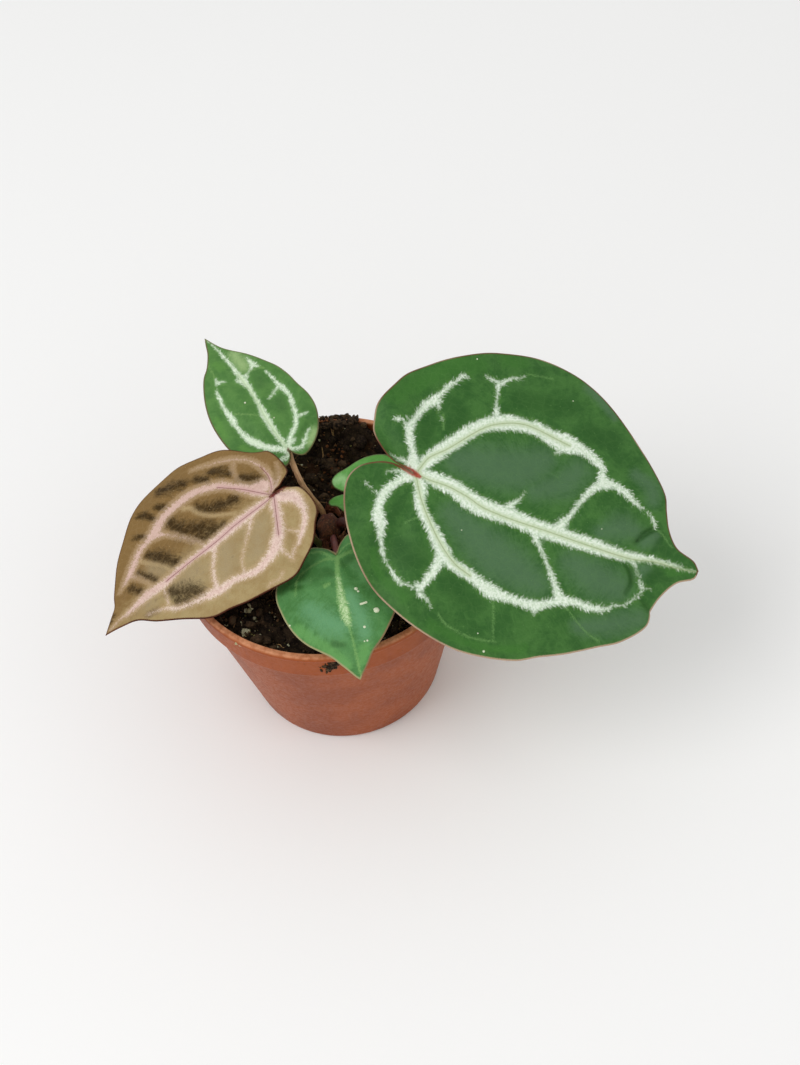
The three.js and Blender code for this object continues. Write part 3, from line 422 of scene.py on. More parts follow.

# Colours in 0-255 sRGB. Silver is the band along the veins and grain its darker specks, halo the
# thin line outside it, core its middle, glow and seam the vein itself, and pale the thin veins with
# no silver and, on the bronze leaf, painted highlights along its folds. Sheen is painted sheen, and
# the dark tone is dark patches together with painted shade in creases and folds. Shade and
# silver_shade are painted shade: the tones of the right half of the blade, where they differ.
# A stalk has a colour near the leaf, one at the foot and a darker one for its streaks.
LOOK_OF_MOST = {
    "shade": None, "deep_share": 0.55, "fade": 0.0, "narrower": 0.0, "gloss": 0.16,
    "pale_blur": 0.1, "crimson": (120, 60, 50),
}
LOOKS = {
    "large_leaf": {
        "base": (48, 93, 38), "base2": (66, 112, 50), "deep": (38, 82, 30), "sheen": (79, 112, 78),
        "fresh": (60, 112, 42), "halo": (84, 126, 50), "silver": (240, 249, 236),
        "core": (222, 234, 212), "grain": (176, 202, 166), "glow": (186, 204, 160),
        "seam": (146, 162, 116), "pale": (106, 150, 82), "margin": (184, 156, 130),
        "margin_dark": (112, 70, 48), "crimson": (200, 56, 42), "under": (112, 142, 86),
        "under_vein": (156, 172, 118), "teeth": 0.42, "fringe": 0.3, "narrower": 0.24,
        "slot": "dark_leaf", "stalk_top": (128, 74, 50), "stalk_foot": (92, 40, 28),
        "stalk_streak": (70, 30, 22), "stalk_slot": "red_stalk",
    },
    "bronze_leaf": {
        "base": (158, 134, 90), "base2": (172, 152, 108), "deep": (46, 31, 6),
        "sheen": (163, 145, 111), "fresh": (136, 106, 64), "halo": (196, 168, 132),
        "silver": (240, 220, 204), "core": (216, 180, 174), "grain": (206, 176, 160),
        "glow": (200, 162, 158), "seam": (118, 66, 62), "pale": (192, 168, 126),
        "margin": (98, 60, 38), "margin_dark": (74, 34, 22), "crimson": (118, 26, 30),
        "under": (140, 84, 74), "under_vein": (172, 120, 104), "shade": (132, 104, 62),
        "silver_shade": (202, 168, 154), "teeth": 0.26, "fringe": 0.5, "fade": 0.12,
        "narrower": 0.85, "gloss": 0.07, "deep_share": 0.92, "pale_blur": 0.6,
        "slot": "bronze_leaf", "stalk_top": (112, 120, 62), "stalk_foot": (84, 96, 44),
        "stalk_streak": (110, 62, 44), "stalk_slot": "green_stalk",
    },
    "upper_leaf": {
        "base": (74, 120, 58), "base2": (90, 136, 68), "deep": (66, 108, 54),
        "sheen": (162, 192, 130), "fresh": (94, 144, 66), "halo": (114, 158, 90),
        "silver": (240, 252, 232), "core": (234, 248, 222), "grain": (200, 226, 188),
        "glow": (206, 226, 188), "seam": (190, 212, 170), "pale": (128, 168, 96),
        "margin": (120, 118, 76), "margin_dark": (104, 92, 60), "crimson": (150, 96, 80),
        "under": (120, 150, 92), "under_vein": (160, 180, 130), "teeth": 0.25, "fringe": 0.26,
        "narrower": 0.12, "slot": "mid_leaf", "stalk_top": (228, 180, 132),
        "stalk_foot": (196, 156, 106), "stalk_streak": (168, 112, 76), "stalk_slot": "tan_stalk",
    },
    "lower_leaf": {
        "base": (68, 120, 60), "base2": (84, 138, 78), "deep": (42, 86, 33),
        "sheen": (104, 158, 112), "fresh": (104, 162, 88), "halo": (120, 170, 96),
        "silver": (208, 230, 180), "core": (190, 220, 160), "grain": (128, 176, 108),
        "glow": (150, 190, 120), "seam": (130, 172, 104), "pale": (128, 174, 100),
        "margin": (160, 156, 112), "margin_dark": (140, 116, 82), "under": (118, 150, 98),
        "under_vein": (150, 176, 124), "teeth": 0.35, "fringe": 0.55, "fade": 0.25,
        "pale_blur": 0.15, "slot": "blue_green_leaf", "stalk_top": (126, 52, 40),
        "stalk_foot": (104, 28, 26), "stalk_streak": (70, 20, 18), "stalk_slot": "red_stalk",
    },
    "young_leaf": {
        "base": (92, 156, 72), "base2": (110, 174, 90), "deep": (70, 128, 54),
        "sheen": (160, 206, 142), "fresh": (88, 152, 62), "halo": (120, 172, 90),
        "silver": (180, 212, 150), "core": (180, 212, 150), "grain": (140, 184, 118),
        "glow": (130, 180, 100), "seam": (120, 168, 90), "pale": (104, 156, 78),
        "margin": (104, 140, 76), "margin_dark": (84, 96, 52), "under": (104, 140, 82),
        "under_vein": (134, 164, 104), "teeth": 0.4, "fringe": 0.3, "slot": "young_leaf",
        "stalk_top": (118, 104, 60), "stalk_foot": (96, 52, 40), "stalk_streak": (90, 44, 36),
        "stalk_slot": "tan_stalk",
    },
}

# Pot
POT_HEIGHT = 70
RIM_RADIUS = 45.2
LIP_HEIGHT = 2
BAND_BOTTOM = 59
BAND_RADIUS = 44.6
WALL_TOP_RADIUS = 42.6
FOOT_RADIUS = 31
WALL = 1.2
FLOOR = 1.6
POT_SIDES = 192
DRAIN_HOLES = 8
DRAIN_RADIUS = 3.2
DRAIN_CIRCLE = 22
DRAIN_SIDES = 24
ROUNDING_STEPS = 4

# Soil and crown
SOIL_LEVEL = 65
MOUND = {"x": 10.5, "y": 38.5, "rise": 6, "spread": 6}
BANK = {"direction": 96, "spread": 20, "radius": 42.5, "depth": 5, "rise": 4.8}
SOIL_GAP = 0.62
SOIL_RINGS = 76
SOIL_SIDES = 240
STRAW_REACH = 41.5
STRAW_SIDES = 5
SMEAR_HEIGHT = 65.6
CROWN = {"x": 1, "y": 2.5, "wide": 5, "deep": 7.2, "foot": 58, "top": 71}
CROWN_SIDES, CROWN_RINGS = 40, 22
SHEATHS, SHEATH_ROWS, SHEATH_COLUMNS = 26, 12, 9
SHEATH_THICKNESS = 0.28

rng = np.random.default_rng(20)


# Curves, bodies and objects

def linear(colour, by=1.0):
    """The shader's colour for one in 0-255 sRGB, made by times as bright."""
    channels = [c / 255 for c in colour]
    channels = [c / 12.92 if c <= 0.04045 else ((c + 0.055) / 1.055) ** 2.4 for c in channels]
    return (*(min(1.0, by * c) for c in channels), 1.0)


def smoothstep(low, high, value):
    t = np.clip((value - low) / (high - low), 0, 1)
    return t * t * (3 - 2 * t)


def turns(sides):
    return 2 * np.pi * np.arange(sides) / sides


def directions(path):
    """Unit vectors along a path, one at each of its points."""
    along = np.gradient(path, axis=0)
    return along / np.maximum(np.linalg.norm(along, axis=1, keepdims=True), 1e-9)


def curve_through(points, step=None, count=None):
    """Points spaced evenly, by step or to a count, on a centripetal curve through points. Numbers
    after a point's place, such as a width, follow along the curve."""
    p = np.array(points, float)
    if len(p) == 2:
        p = np.array([p[0], (p[0] + p[1]) / 2, p[1]])
    ends = np.vstack([2 * p[0] - p[1], p, 2 * p[-1] - p[-2]])
    u = np.linspace(0, 1, 40, endpoint=False)[:, None]
    fine = []
    for i in range(len(p) - 1):
        p0, p1, p2, p3 = ends[i:i + 4]
        d0, d1, d2 = (max(np.linalg.norm(b - a) ** 0.5, 1e-4)
                      for a, b in ((p0, p1), (p1, p2), (p2, p3)))
        t1 = ((p1 - p0) / d0 - (p2 - p0) / (d0 + d1) + (p2 - p1) / d1) * d1
        t2 = ((p2 - p1) / d1 - (p3 - p1) / (d1 + d2) + (p3 - p2) / d2) * d1
        fine.append((2 * u**3 - 3 * u**2 + 1) * p1 + (u**3 - 2 * u**2 + u) * t1
                    + (3 * u**2 - 2 * u**3) * p2 + (u**3 - u**2) * t2)
    fine = np.vstack([*fine, p[-1:]])
    gaps = np.linalg.norm(np.diff(fine, axis=0), axis=1)
    reach = np.concatenate([[0], np.cumsum(gaps)])
    count = count or max(2, int(round(reach[-1] / step)) + 1)
    at = np.linspace(0, reach[-1], count)
    return np.stack([np.interp(at, reach, row) for row in fine.T], 1)


def ring(radius, z, sides, centre=(0, 0)):
    """A level ring of points. The radius may differ from point to point."""
    x, y = np.cos(turns(sides)), np.sin(turns(sides))
    return np.column_stack([centre[0] + radius * x, centre[1] + radius * y, np.full(sides, z)])


def closed(rings, first, last):
    """Vertices and faces of a body of rings, closed by a middle point before and after them."""
    sides = len(rings[0])
    start, end = len(rings) * sides, len(rings) * sides + 1
    following = [(i, (i + 1) % sides) for i in range(sides)]
    faces = [(a + i, a + j, a + sides + j, a + sides + i)
             for a in range(0, start - sides, sides) for i, j in following]
    for i, j in following:
        faces += [(start, j, i), (end, start - sides + i, start - sides + j)]
    return np.vstack([*rings, [first], [last]]), faces


def tube(path, side, radius):
    """A closed tube along a path, from a sideways direction at each point of it and the radius at
    each point and angle."""
    x, y = np.cos(turns(radius.shape[1]))[:, None], np.sin(turns(radius.shape[1]))[:, None]
    other = np.cross(directions(path), side)
    rings = [path[k] + radius[k][:, None] * (x * side[k] + y * other[k]) for k in range(len(path))]
    return closed(rings, path[0], path[-1])


def joined(bodies):
    """Vertices, faces and tones of several bodies as one, from (vertices, faces, tone) of each."""
    vertices, faces, tones = [], [], []
    for places, body_faces, tone in bodies:
        faces += [tuple(len(tones) + v for v in face) for face in body_faces]
        vertices.append(places)
        tones += [tone] * len(places)
    return np.vstack(vertices), faces, {"shade": tones}


def make_object(name, materials, vertices, faces, attributes=None, material_of=None):
    """A smooth-shaded mesh object from millimetres. Attributes are values of the vertices."""
    mesh = bpy.data.meshes.new(name)
    mesh.from_pydata((np.asarray(vertices, float) * MM).tolist(), [], faces)
    for material in materials:
        mesh.materials.append(material)
    if material_of is not None:
        mesh.polygons.foreach_set("material_index", np.asarray(material_of, np.int32))
    for key, values in (attributes or {}).items():
        values = np.asarray(values, np.float32)
        kind, field = ("FLOAT", "value") if values.ndim == 1 else ("FLOAT_VECTOR", "vector")
        mesh.attributes.new(key, kind, "POINT").data.foreach_set(field, values.ravel())
    mesh.polygons.foreach_set("use_smooth", np.ones(len(mesh.polygons), bool))
    mesh.validate()
    mesh.update()
    made = bpy.data.objects.new(name, mesh)
    scene.collection.objects.link(made)
    return made


def piece(made, slot, *nodes):
    """Ties an object to the only body and to the nodes that it stands for. Its slot is not used."""
    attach(made, "root")
    if nodes:
        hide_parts(*nodes)


# Nodes of the materials

class Value:
    """A number, vector or colour in a material. Sums and products of numbers make their nodes."""

    def __init__(self, shader, socket):
        self.shader = shader
        self.socket = socket

    def __add__(self, other):
        return self.shader.math("ADD", self, other)

    def __sub__(self, other):
        return self.shader.math("SUBTRACT", self, other)

    def __rsub__(self, other):
        return self.shader.math("SUBTRACT", other, self)

    def __mul__(self, other):
        return self.shader.math("MULTIPLY", self, other)

    __rmul__ = __mul__

    def swing(self, amount):
        """A noise value, mostly 0.3 to 0.7, turned into one that swings by amount about zero."""
        return self.shader.math("MULTIPLY_ADD", self, 5 * amount, -2.5 * amount)

    def step(self, low, high, to_low=0.0, to_high=1.0):
        """A smooth step from to_low, where the value is low, to to_high, where it is high."""
        values = {"Value": self, "From Min": low, "From Max": high, "To Min": to_low,
                  "To Max": to_high}
        return self.shader.node("MapRange", "Result", values, interpolation_type="SMOOTHSTEP")


class Shader:
    """A material's node tree, with short calls for the nodes that the materials share."""

    def __init__(self, name, roughness, specular, sheen=0.0):
        self.material = bpy.data.materials.new(name)
        self.material.use_nodes = True
        self.tree = self.material.node_tree
        self.surface = self.tree.nodes["Principled BSDF"]
        self.fill(self.surface, {"Roughness": roughness, "Specular IOR Level": specular,
                                 "Sheen Weight": sheen, "Sheen Roughness": 0.45})

    def fill(self, node, values):
        for socket, value in values.items():
            if isinstance(value, Value):
                self.tree.links.new(value.socket, node.inputs[socket])
            else:
                node.inputs[socket].default_value = value

    def node(self, kind, output, values, **settings):
        node = self.tree.nodes.new(f"ShaderNode{kind}")
        for key, setting in settings.items():
            setattr(node, key, setting)
        self.fill(node, values)
        return Value(self, node.outputs[output])

    def math(self, operation, *values):
        return self.node("Math", "Value", dict(enumerate(values)), operation=operation)

    def attribute(self, name, output="Fac"):
        return self.node("Attribute", output, {}, attribute_name=name)

    def metres(self):
        return self.node("TexCoord", "Object", {})

    def millimetres(self):
        return self.scaled(self.metres(), (1000.0, 1000.0, 1000.0))

    def scaled(self, vector, by):
        return self.node("VectorMath", "Vector", {0: vector, 1: by}, operation="MULTIPLY")

    def part(self, vector, axis):
        return self.node("SeparateXYZ", axis, {"Vector": vector})

    def noise(self, vector, scale, detail=2.0, roughness=0.5, distortion=0.0):
        return self.node("TexNoise", "Fac", {"Vector": vector, "Scale": scale, "Detail": detail,
                                             "Roughness": roughness, "Distortion": distortion})

    def cells(self, vector, scale, feature="F1"):
        return self.node("TexVoronoi", "Distance", {"Vector": vector, "Scale": scale},
                         feature=feature)

    def mix(self, share, under, over, blend="MIX"):
        """One colour over another. Colours of three numbers are in 0-255 sRGB."""
        under, over = (linear(colour) if isinstance(colour, tuple) and len(colour) == 3 else colour
                       for colour in (under, over))
        return self.node("Mix", 2, {0: share, 6: under, 7: over}, data_type="RGBA",
                         blend_type=blend)

    def grey(self, value):
        return self.node("CombineColor", "Color", {"Red": value, "Green": value, "Blue": value})

    def bump(self, height, distance, strength):
        return self.node("Bump", "Normal",
                         {"Height": height, "Distance": distance, "Strength": strength})

    def finish(self, colour, **others):
        self.fill(self.surface, {"Base Color": colour, **others})
        return self.material


# Leaf materials

def leaf_top_material(name, look):
    """Velvety upper face: mottled green cells with painted sheen and painted shade, a feathered
    grainy band along the veins with the vein itself in it, thin pale veins, and a fine line round
    the edge."""
    s = Shader(f"{name}_top", 0.5, look["gloss"])
    place, teeth_place = s.attribute("place", "Vector"), s.attribute("teeth", "Vector")
    band = s.attribute("band")
    fine = s.noise(place, 3.4, 3.0, 0.65)
    finest = s.noise(place, 7.5, 2.0, 0.6)
    grain = s.noise(place, 1.6, 3.0, 0.6)
    patch = s.noise(place, 0.42, 4.0, 0.62, 0.5)

    # The cells, streaked along the small side veins, and on some leaves with painted shade
    # on the right half
    streaks = s.noise(s.scaled(teeth_place, (1.6, 0.16, 1.0)), 1.0, 3.0, 0.6)
    mottle = 0.5 * s.noise(place, 0.13, 3.0, 0.55) + 0.3 * patch + 0.2 * streaks
    green = s.mix(mottle.step(0.4, 0.6), look["base"], look["base2"])
    if look["shade"]:
        side = -1.0 * s.part(place, "Y") + patch.swing(3.0) + streaks.swing(1.5)
        green = s.mix(side.step(-4.0, 9.0), green, look["shade"])
    # Tone patches: fresh is yellow-green, sheen is painted sheen, and the dark tone is dark patches
    # together with painted shade in creases and folds
    for key, share, ragged in (("fresh", 0.7, 0.14), ("sheen", 0.85, 0.09),
                               ("deep", look["deep_share"], 0.16)):
        tone = s.attribute(key) + patch.swing(ragged) + grain.swing(ragged) + streaks.swing(ragged)
        green = s.mix(share * tone.step(0.05, 1.0), green, look[key])
    speckle = (0.5 * fine + 0.5 * finest).step(0.3, 0.7, 0.86, 1.15)
    green = s.mix(1.0, green, s.grey(speckle), "MULTIPLY")

    # Fine net of small veins and grains of dust, a shade lighter than the cells
    net = s.cells(s.scaled(place, (0.7, 1.0, 1.0)), 0.5, "DISTANCE_TO_EDGE") + fine.swing(0.05)
    net_line = net.step(0.0, 0.09, 1.0, 0.0)
    green = s.mix(0.07 * net_line, green, look["pale"])
    green = s.mix(s.cells(place, 0.55).step(0.05, 0.085, 0.45, 0.0), green, look["pale"])

    # Thin pale veins, and on the bronze leaf painted highlights along its folds
    pale = s.attribute("pale") + grain.swing(0.25) + fine.swing(0.4)
    blur = look["pale_blur"]
    green = s.mix(0.7 * pale.step(-0.3 - blur, 0.25 + blur), green, look["pale"])

    # The band: teeth across its edge that lean towards the tip, a fringe of grains, and a halo
    teeth = s.noise(s.scaled(teeth_place, (2.2, 0.6, 1.0)), 1.0, 4.0, 0.7)
    hairs = s.noise(s.scaled(teeth_place, (3.2, 0.28, 1.0)), 1.0, 3.0, 0.7)
    edge = band + teeth.swing(look["teeth"]) + s.noise(place, 0.8, 3.0, 0.6).swing(0.3)
    edge = edge + 11 * look["teeth"] * s.math("MAXIMUM", hairs - 0.5, 0.0)
    for grains in (fine, finest, grain):
        edge = edge + grains.swing(look["fringe"])
    narrower = look["narrower"]
    edge = edge - (side.step(-4.0, 9.0, 0.5 * narrower, narrower) if look["shade"] else narrower)
    cover = edge.step(-0.35 - 0.5 * look["fade"], 0.3 + look["fade"])
    inside = (band + fine.swing(0.4) + grain.swing(0.3)).step(0.5, 1.5)
    flecks = (0.5 * fine + 0.5 * grain).step(0.51, 0.57, 0.0, 0.75)
    cover = cover * (1.0 - flecks * (1.0 - inside))
    green = s.mix(0.4 * (band + grain.swing(0.5)).step(-1.0, 0.0), green, look["halo"])
    bright = 0.3 * fine + 0.45 * s.noise(place, 1.3, 3.0, 0.75) + 0.25 * hairs
    silver = s.mix(bright.step(0.42, 0.55), look["grain"], look["silver"])
    silver = s.mix(0.4 * inside, silver, look["core"])
    # Painted shade on the bands of the right half, where the leaf has any
    if look["shade"]:
        silver = s.mix(0.6 * side.step(-2.0, 7.0), silver, look["silver_shade"])

    # The vein in the middle of the band
    off_seam = s.math("ABSOLUTE", s.attribute("seam_side"))
    near = s.attribute("seam_off").step(0.6, 1.6, 1.0, 0.0)
    glow = (off_seam + grain.swing(0.3)).step(0.1, 1.4, 0.7, 0.0)
    full = s.mix(cover, green, s.mix(glow * near, silver, look["glow"]))
    line = (off_seam + fine.swing(0.06)).step(0.02, 0.2, 0.75, 0.0)
    full = s.mix(line * near, full, look["seam"])

    # Crimson where the stalk joins, and the edge line, darker in stretches
    red = (s.attribute("crimson") + fine.swing(0.25) + grain.swing(0.25)).step(-0.5, 0.3)
    crimson = s.mix(fine.step(0.4, 0.6), look["crimson"], linear(look["crimson"], 0.4))
    full = s.mix(0.92 * red, full, crimson)
    edge_line = (s.attribute("margin") + fine.swing(0.12)).step(0.18, 0.6, 1.0, 0.0)
    edge_colour = s.mix(s.attribute("edge_tone").step(0.3, 0.7), look["margin"],
                        look["margin_dark"])
    full = s.mix(edge_line, full, edge_colour)
    height = 0.5 * fine + 0.35 * finest + -0.2 * net_line + 0.2 * cover
    return s.finish(full, Roughness=fine.step(0.3, 0.7, 0.42, 0.58),
                    Normal=s.bump(height, 0.00012, 0.45))


def leaf_under_material(name, look):
    """Matt underside, paler, with its veins paler still."""
    s = Shader(f"{name}_under", 0.6, 0.3, 0.1)
    place = s.attribute("place", "Vector")
    tone = s.mix(s.noise(place, 0.22, 4.0, 0.6).step(0.35, 0.65), look["under"],
                 linear(look["under"], 0.72))
    line = s.cells(place, 0.42, "DISTANCE_TO_EDGE").step(0.0, 0.08, 1.0, 0.0)
    tone = s.mix(0.3 * line, tone, look["under_vein"])
    tone = s.mix(s.attribute("rib").step(0.0, 0.8), tone, look["under_vein"])
    tone = s.mix(s.attribute("margin").step(0.15, 0.5, 1.0, 0.0), tone, look["margin"])
    fine = s.noise(place, 3.0, 3.0, 0.6)
    return s.finish(tone, Roughness=fine.step(0.3, 0.7, 0.52, 0.68),
                    Normal=s.bump(0.6 * line + 0.4 * fine, 0.00015, 0.6))


def speck_material():
    """Dried drops of lime and grains of dust on a blade."""
    s = Shader("leaf_specks", 0.6, 0.4)
    grain = s.noise(s.metres(), 2600, 3.0, 0.6)
    tone = s.mix(grain.step(0.35, 0.65), (228, 232, 206), (198, 208, 168))
    return s.finish(tone, Normal=s.bump(grain, 0.0001, 0.6))


# Leaf shapes

def leaf_turn(leaf):
    angles = [math.radians(leaf[key]) for key in ("roll", "dip", "heading")]
    return np.array(Euler(angles, "XYZ").to_matrix())


def placed(leaf, points):
    return points @ leaf_turn(leaf).T + np.array(leaf["place"])


def leaf_outline(leaf):
    """From the notch up the left edge to the tip, and back down the right edge."""
    half = leaf["edge_points"] // 2 + 1
    left = curve_through([leaf["notch"], *leaf["left"][::-1], leaf["tip"]], count=half)
    right = curve_through([leaf["tip"], *leaf["right"], leaf["notch"]], count=half)
    return np.vstack([left[:-1], right[:-1]])


def stroke_samples(strokes):
    """Evenly spaced points of all strokes: x, y, half width, direction and length along."""
    rows = []
    for number, stroke in enumerate(strokes):
        line = curve_through(stroke, VEIN_SAMPLE)
        half = line[:, 2:3] / 2 if line.shape[1] > 2 else np.zeros((len(line), 1))
        run = VEIN_SAMPLE * np.arange(len(line))[:, None] + STROKE_APART * number
        rows.append(np.hstack([line[:, :2], half, directions(line[:, :2]), run]))
    return np.vstack(rows)


def nearest(points, samples, by_width=False):
    """For each point, the nearest sample and the distance to it. By width, the depth inside the
    stroke counts, and otherwise the plain distance."""
    chosen, distance = np.empty(len(points), int), np.empty(len(points))
    for start in range(0, len(points), BLOCK):
        block = points[start:start + BLOCK]
        gap = np.hypot(block[:, :1] - samples[:, 0], block[:, 1:2] - samples[:, 1])
        pick = np.argmin(gap - samples[:, 2] if by_width else gap, axis=1)
        chosen[start:start + BLOCK] = pick
        distance[start:start + BLOCK] = gap[np.arange(len(block)), pick]
    return samples[chosen], distance


def beside(points, near):
    """How far each point lies ahead of its sample, and to the left of it."""
    to_point, along = points - near[:, :2], near[:, 3:5]
    left = along[:, 0] * to_point[:, 1] - along[:, 1] * to_point[:, 0]
    return (along * to_point).sum(axis=1), left


def stroke_depth(points, strokes):
    """How far inside the nearest stroke each point is, negative outside, and half its width."""
    if not strokes:
        return np.full(len(points), NO_BAND), np.ones(len(points))
    near, distance = nearest(points, stroke_samples(strokes), True)
    return near[:, 2] - distance, near[:, 2]


def unevenness(points, scale, layer):
    """Smooth noise at each point, another in each layer."""
    return np.array([noise.noise(Vector((scale * x, scale * y, layer))) for x, y in points])


def leaf_fields(leaf, points, edge):
    """What the materials and the relief need at each place of a blade."""
    ribs = stroke_samples(leaf["silver"] or leaf["pale"])
    near, distance = nearest(points, ribs, True)
    ahead, left = beside(points, near)
    run = near[:, 5] + TEETH_FAN * np.arctan2(left, ahead) - TEETH_LEAN * distance
    rib = np.maximum(near[:, 2] - distance, NO_BAND)
    fields = {
        "off": nearest(points, ribs)[1],
        "place": np.column_stack([points, np.zeros(len(points))]),
        "teeth": np.column_stack([run, distance, 0.25 * points.sum(axis=1)]),
        "band": rib if leaf["silver"] else np.full(len(points), NO_BAND),
        "rib": rib,
    }
    for key in ("pale", "crimson"):
        fields[key] = stroke_depth(points, leaf[key])[0]
    for key, softness in TONE_SOFTNESS.items():
        depth, half = stroke_depth(points, leaf[key])
        soft = softness * leaf.get("softness", 1) * np.clip(half / WIDE_TONE, 0.3, 1)
        fields[key] = smoothstep(-soft, 0.7 * soft, depth)
    fields["seam_side"] = fields["seam_off"] = np.full(len(points), NO_SEAM)
    if leaf["seams"]:
        near, fields["seam_off"] = nearest(points, stroke_samples(leaf["seams"]))
        fields["seam_side"] = beside(points, near)[1]
    fields["margin"] = nearest(points, np.pad(edge, ((0, 0), (0, 4))))[1]

    # Which stretches of the edge line are dark: mostly the left side, towards the tip
    towards_tip = smoothstep(0.0, 0.25, points[:, 0] / leaf["length"])
    fields["edge_tone"] = (0.5 + 0.9 * unevenness(points, 0.06, 5.0)
                           + 0.5 * np.sign(points[:, 1]) * towards_tip)
    return fields


def blade_height(leaf, points, reach, fields):
    """Height of the upper face: the bend of the solids, and a low relief on it."""
    # Bend: down to the tip and edges, swelling between the ribs, and waved along the edge
    x, y = points.T
    turn = np.arctan2(y, x)
    bow = leaf["arch"] * (np.maximum(x, 0) / leaf["length"]) ** 2 + leaf["dome"] * (y / 40) ** 2
    swell = leaf["puff"] * np.sin(np.pi * reach) ** 2 * np.cos(6 * turn)
    ripple = leaf["wave"] * reach**3 * np.sin(leaf["waves"] * turn + 0.6)

    # Relief: cells puffed up between the sunken veins, swellings and creases near the tip
    puffed = 1 - np.exp(-((fields["off"] / 2.6) ** 2))
    height = 0.42 * smoothstep(0.0, 5.0, fields["margin"]) * (puffed - 0.6)
    height -= 0.16 * np.exp(-((fields["seam_side"] / 0.35) ** 2)) * (fields["seam_off"] < 1.2)
    for cx, cy, half_length, half_width, rise in leaf["swells"]:
        spread = ((x - cx) / half_length) ** 2 + ((y - cy) / half_width) ** 2
        height += rise * np.exp(-1.2 * spread)
    for crease in leaf["creases"]:
        near, distance = nearest(points, stroke_samples([crease]))
        height -= 2 * near[:, 2] * np.exp(-((distance / 0.8) ** 2))
    uneven = unevenness(points, 0.11, leaf["length"])
    height += 0.35 * uneven * smoothstep(0, 6, np.hypot(x, y))
    return swell + ripple - bow + height


def fan_faces(counts, first):
    """Faces of a fan: a middle point, then rings whose counts stay or double outwards."""
    start = first + 1
    faces = [(first, start + i, start + (i + 1) % counts[0]) for i in range(counts[0])]
    for inner, outer in zip(counts, counts[1:]):
        below = start
        start += inner
        for i in range(inner):
            j = (i + 1) % inner
            if outer == inner:
                faces.append((below + i, start + i, start + j, below + j))
            else:
                a, b, c = start + 2 * i, start + 2 * i + 1, start + (2 * i + 2) % outer
                faces += [(below + i, a, b), (below + i, b, below + j), (below + j, b, c)]
    return faces


def fan_points(edge, rings):
    """Points of a fan, the reach of each, and the counts of its rings, fewer on the inner ones."""
    reaches, counts, points = [0.0], [], [np.zeros((1, 2))]
    for k in range(1, rings + 1):
        skip = 1
        while k / rings * 2 * skip < 1.15 and skip < 16:
            skip *= 2
        counts.append(len(edge) // skip)
        points.append(k / rings * edge[::skip])
        reaches += [k / rings] * counts[-1]
    return np.vstack(points), reaches, counts


def build_leaf(leaf, look):
    """One blade as a closed skin: a fine upper face, a rounded edge and an underside with ribs."""
    edge = leaf_outline(leaf)
    along = np.roll(edge, -1, axis=0) - np.roll(edge, 1, axis=0)
    along /= np.linalg.norm(along, axis=1, keepdims=True)
    # The outline runs clockwise seen from above, so inwards is to its right
    inner_edge = edge + EDGE_INSET * np.column_stack([along[:, 1], -along[:, 0]])
    top, top_reach, top_counts = fan_points(inner_edge, leaf["rings"])
    under, under_reach, under_counts = fan_points(inner_edge, leaf["rings"] // 2)
    count, under_start, edge_start = len(edge), len(top), len(top) + len(under)
    points = np.vstack([top, under, edge])
    fields = leaf_fields(leaf, points, edge)
    reach = np.array([*top_reach, *under_reach, *[1.0] * count])
    height = blade_height(leaf, points, reach, fields)
    drop = EDGE_THICKNESS + (BLADE_THICKNESS - EDGE_THICKNESS) * smoothstep(0, 3, fields["margin"])
    drop += 0.9 * np.exp(-((fields["off"] / 0.75) ** 2)) * smoothstep(-0.5, 1.5, fields["rib"])
    drop[:under_start] = 0
    drop[edge_start:] = EDGE_THICKNESS / 2
    skin = placed(leaf, np.column_stack([points, height - drop]))

    faces = fan_faces(top_counts, 0)
    material_of = [0] * len(faces) + [0, 1] * count
    top_ring, under_ring = under_start - count, edge_start - count
    for i in range(count):
        j = (i + 1) % count
        faces += [(top_ring + i, edge_start + i, edge_start + j, top_ring + j),
                  (edge_start + i, under_ring + i, under_ring + j, edge_start + j)]
    # Fans turn clockwise, so the upper face and the edge are turned over to face out
    faces = [face[::-1] for face in faces] + fan_faces(under_counts, under_start)
    material_of += [1] * (len(faces) - len(material_of))
    vertices, faces, _ = joined([(skin, faces, 0), *speck_domes(leaf, edge)])
    material_of += [2] * (len(faces) - len(material_of))
    spare = len(vertices) - len(skin)
    attributes = {key: np.concatenate([values, np.zeros((spare, *values.shape[1:]))])
                  for key, values in fields.items() if key != "off"}
    name = leaf["name"]
    materials = [leaf_top_material(name, look), leaf_under_material(name, look), SPECKS]
    made = make_object(f"{name}_fine", materials, vertices, faces, attributes, material_of)
    piece(made, look["slot"], f"{name}_blade", f"{name}_veins")


def speck_domes(leaf, edge):
    """Low round grains that lie on the upper face."""
    domes = []
    angles, lengths = np.arctan2(edge[:, 1], edge[:, 0]), np.hypot(edge[:, 0], edge[:, 1])
    for x, y, radius in leaf["specks"]:
        ragged = radius * (1 + 0.18 * rng.random(SPECK_SIDES))
        rings = [ring(share * ragged, rise * radius, SPECK_SIDES, (x, y))
                 for share, rise in SPECK_PROFILE]
        dome, faces = closed(rings, (x, y, -0.3 * radius), (x, y, 0.34 * radius))
        points = dome[:, :2]
        reach = math.hypot(x, y) / np.interp(math.atan2(y, x), angles, lengths, period=2 * np.pi)
        dome[:, 2] += blade_height(leaf, points, min(reach, 1.0), leaf_fields(leaf, points, edge))
        domes.append((placed(leaf, dome), faces, 0))
    return domes


# Stalks

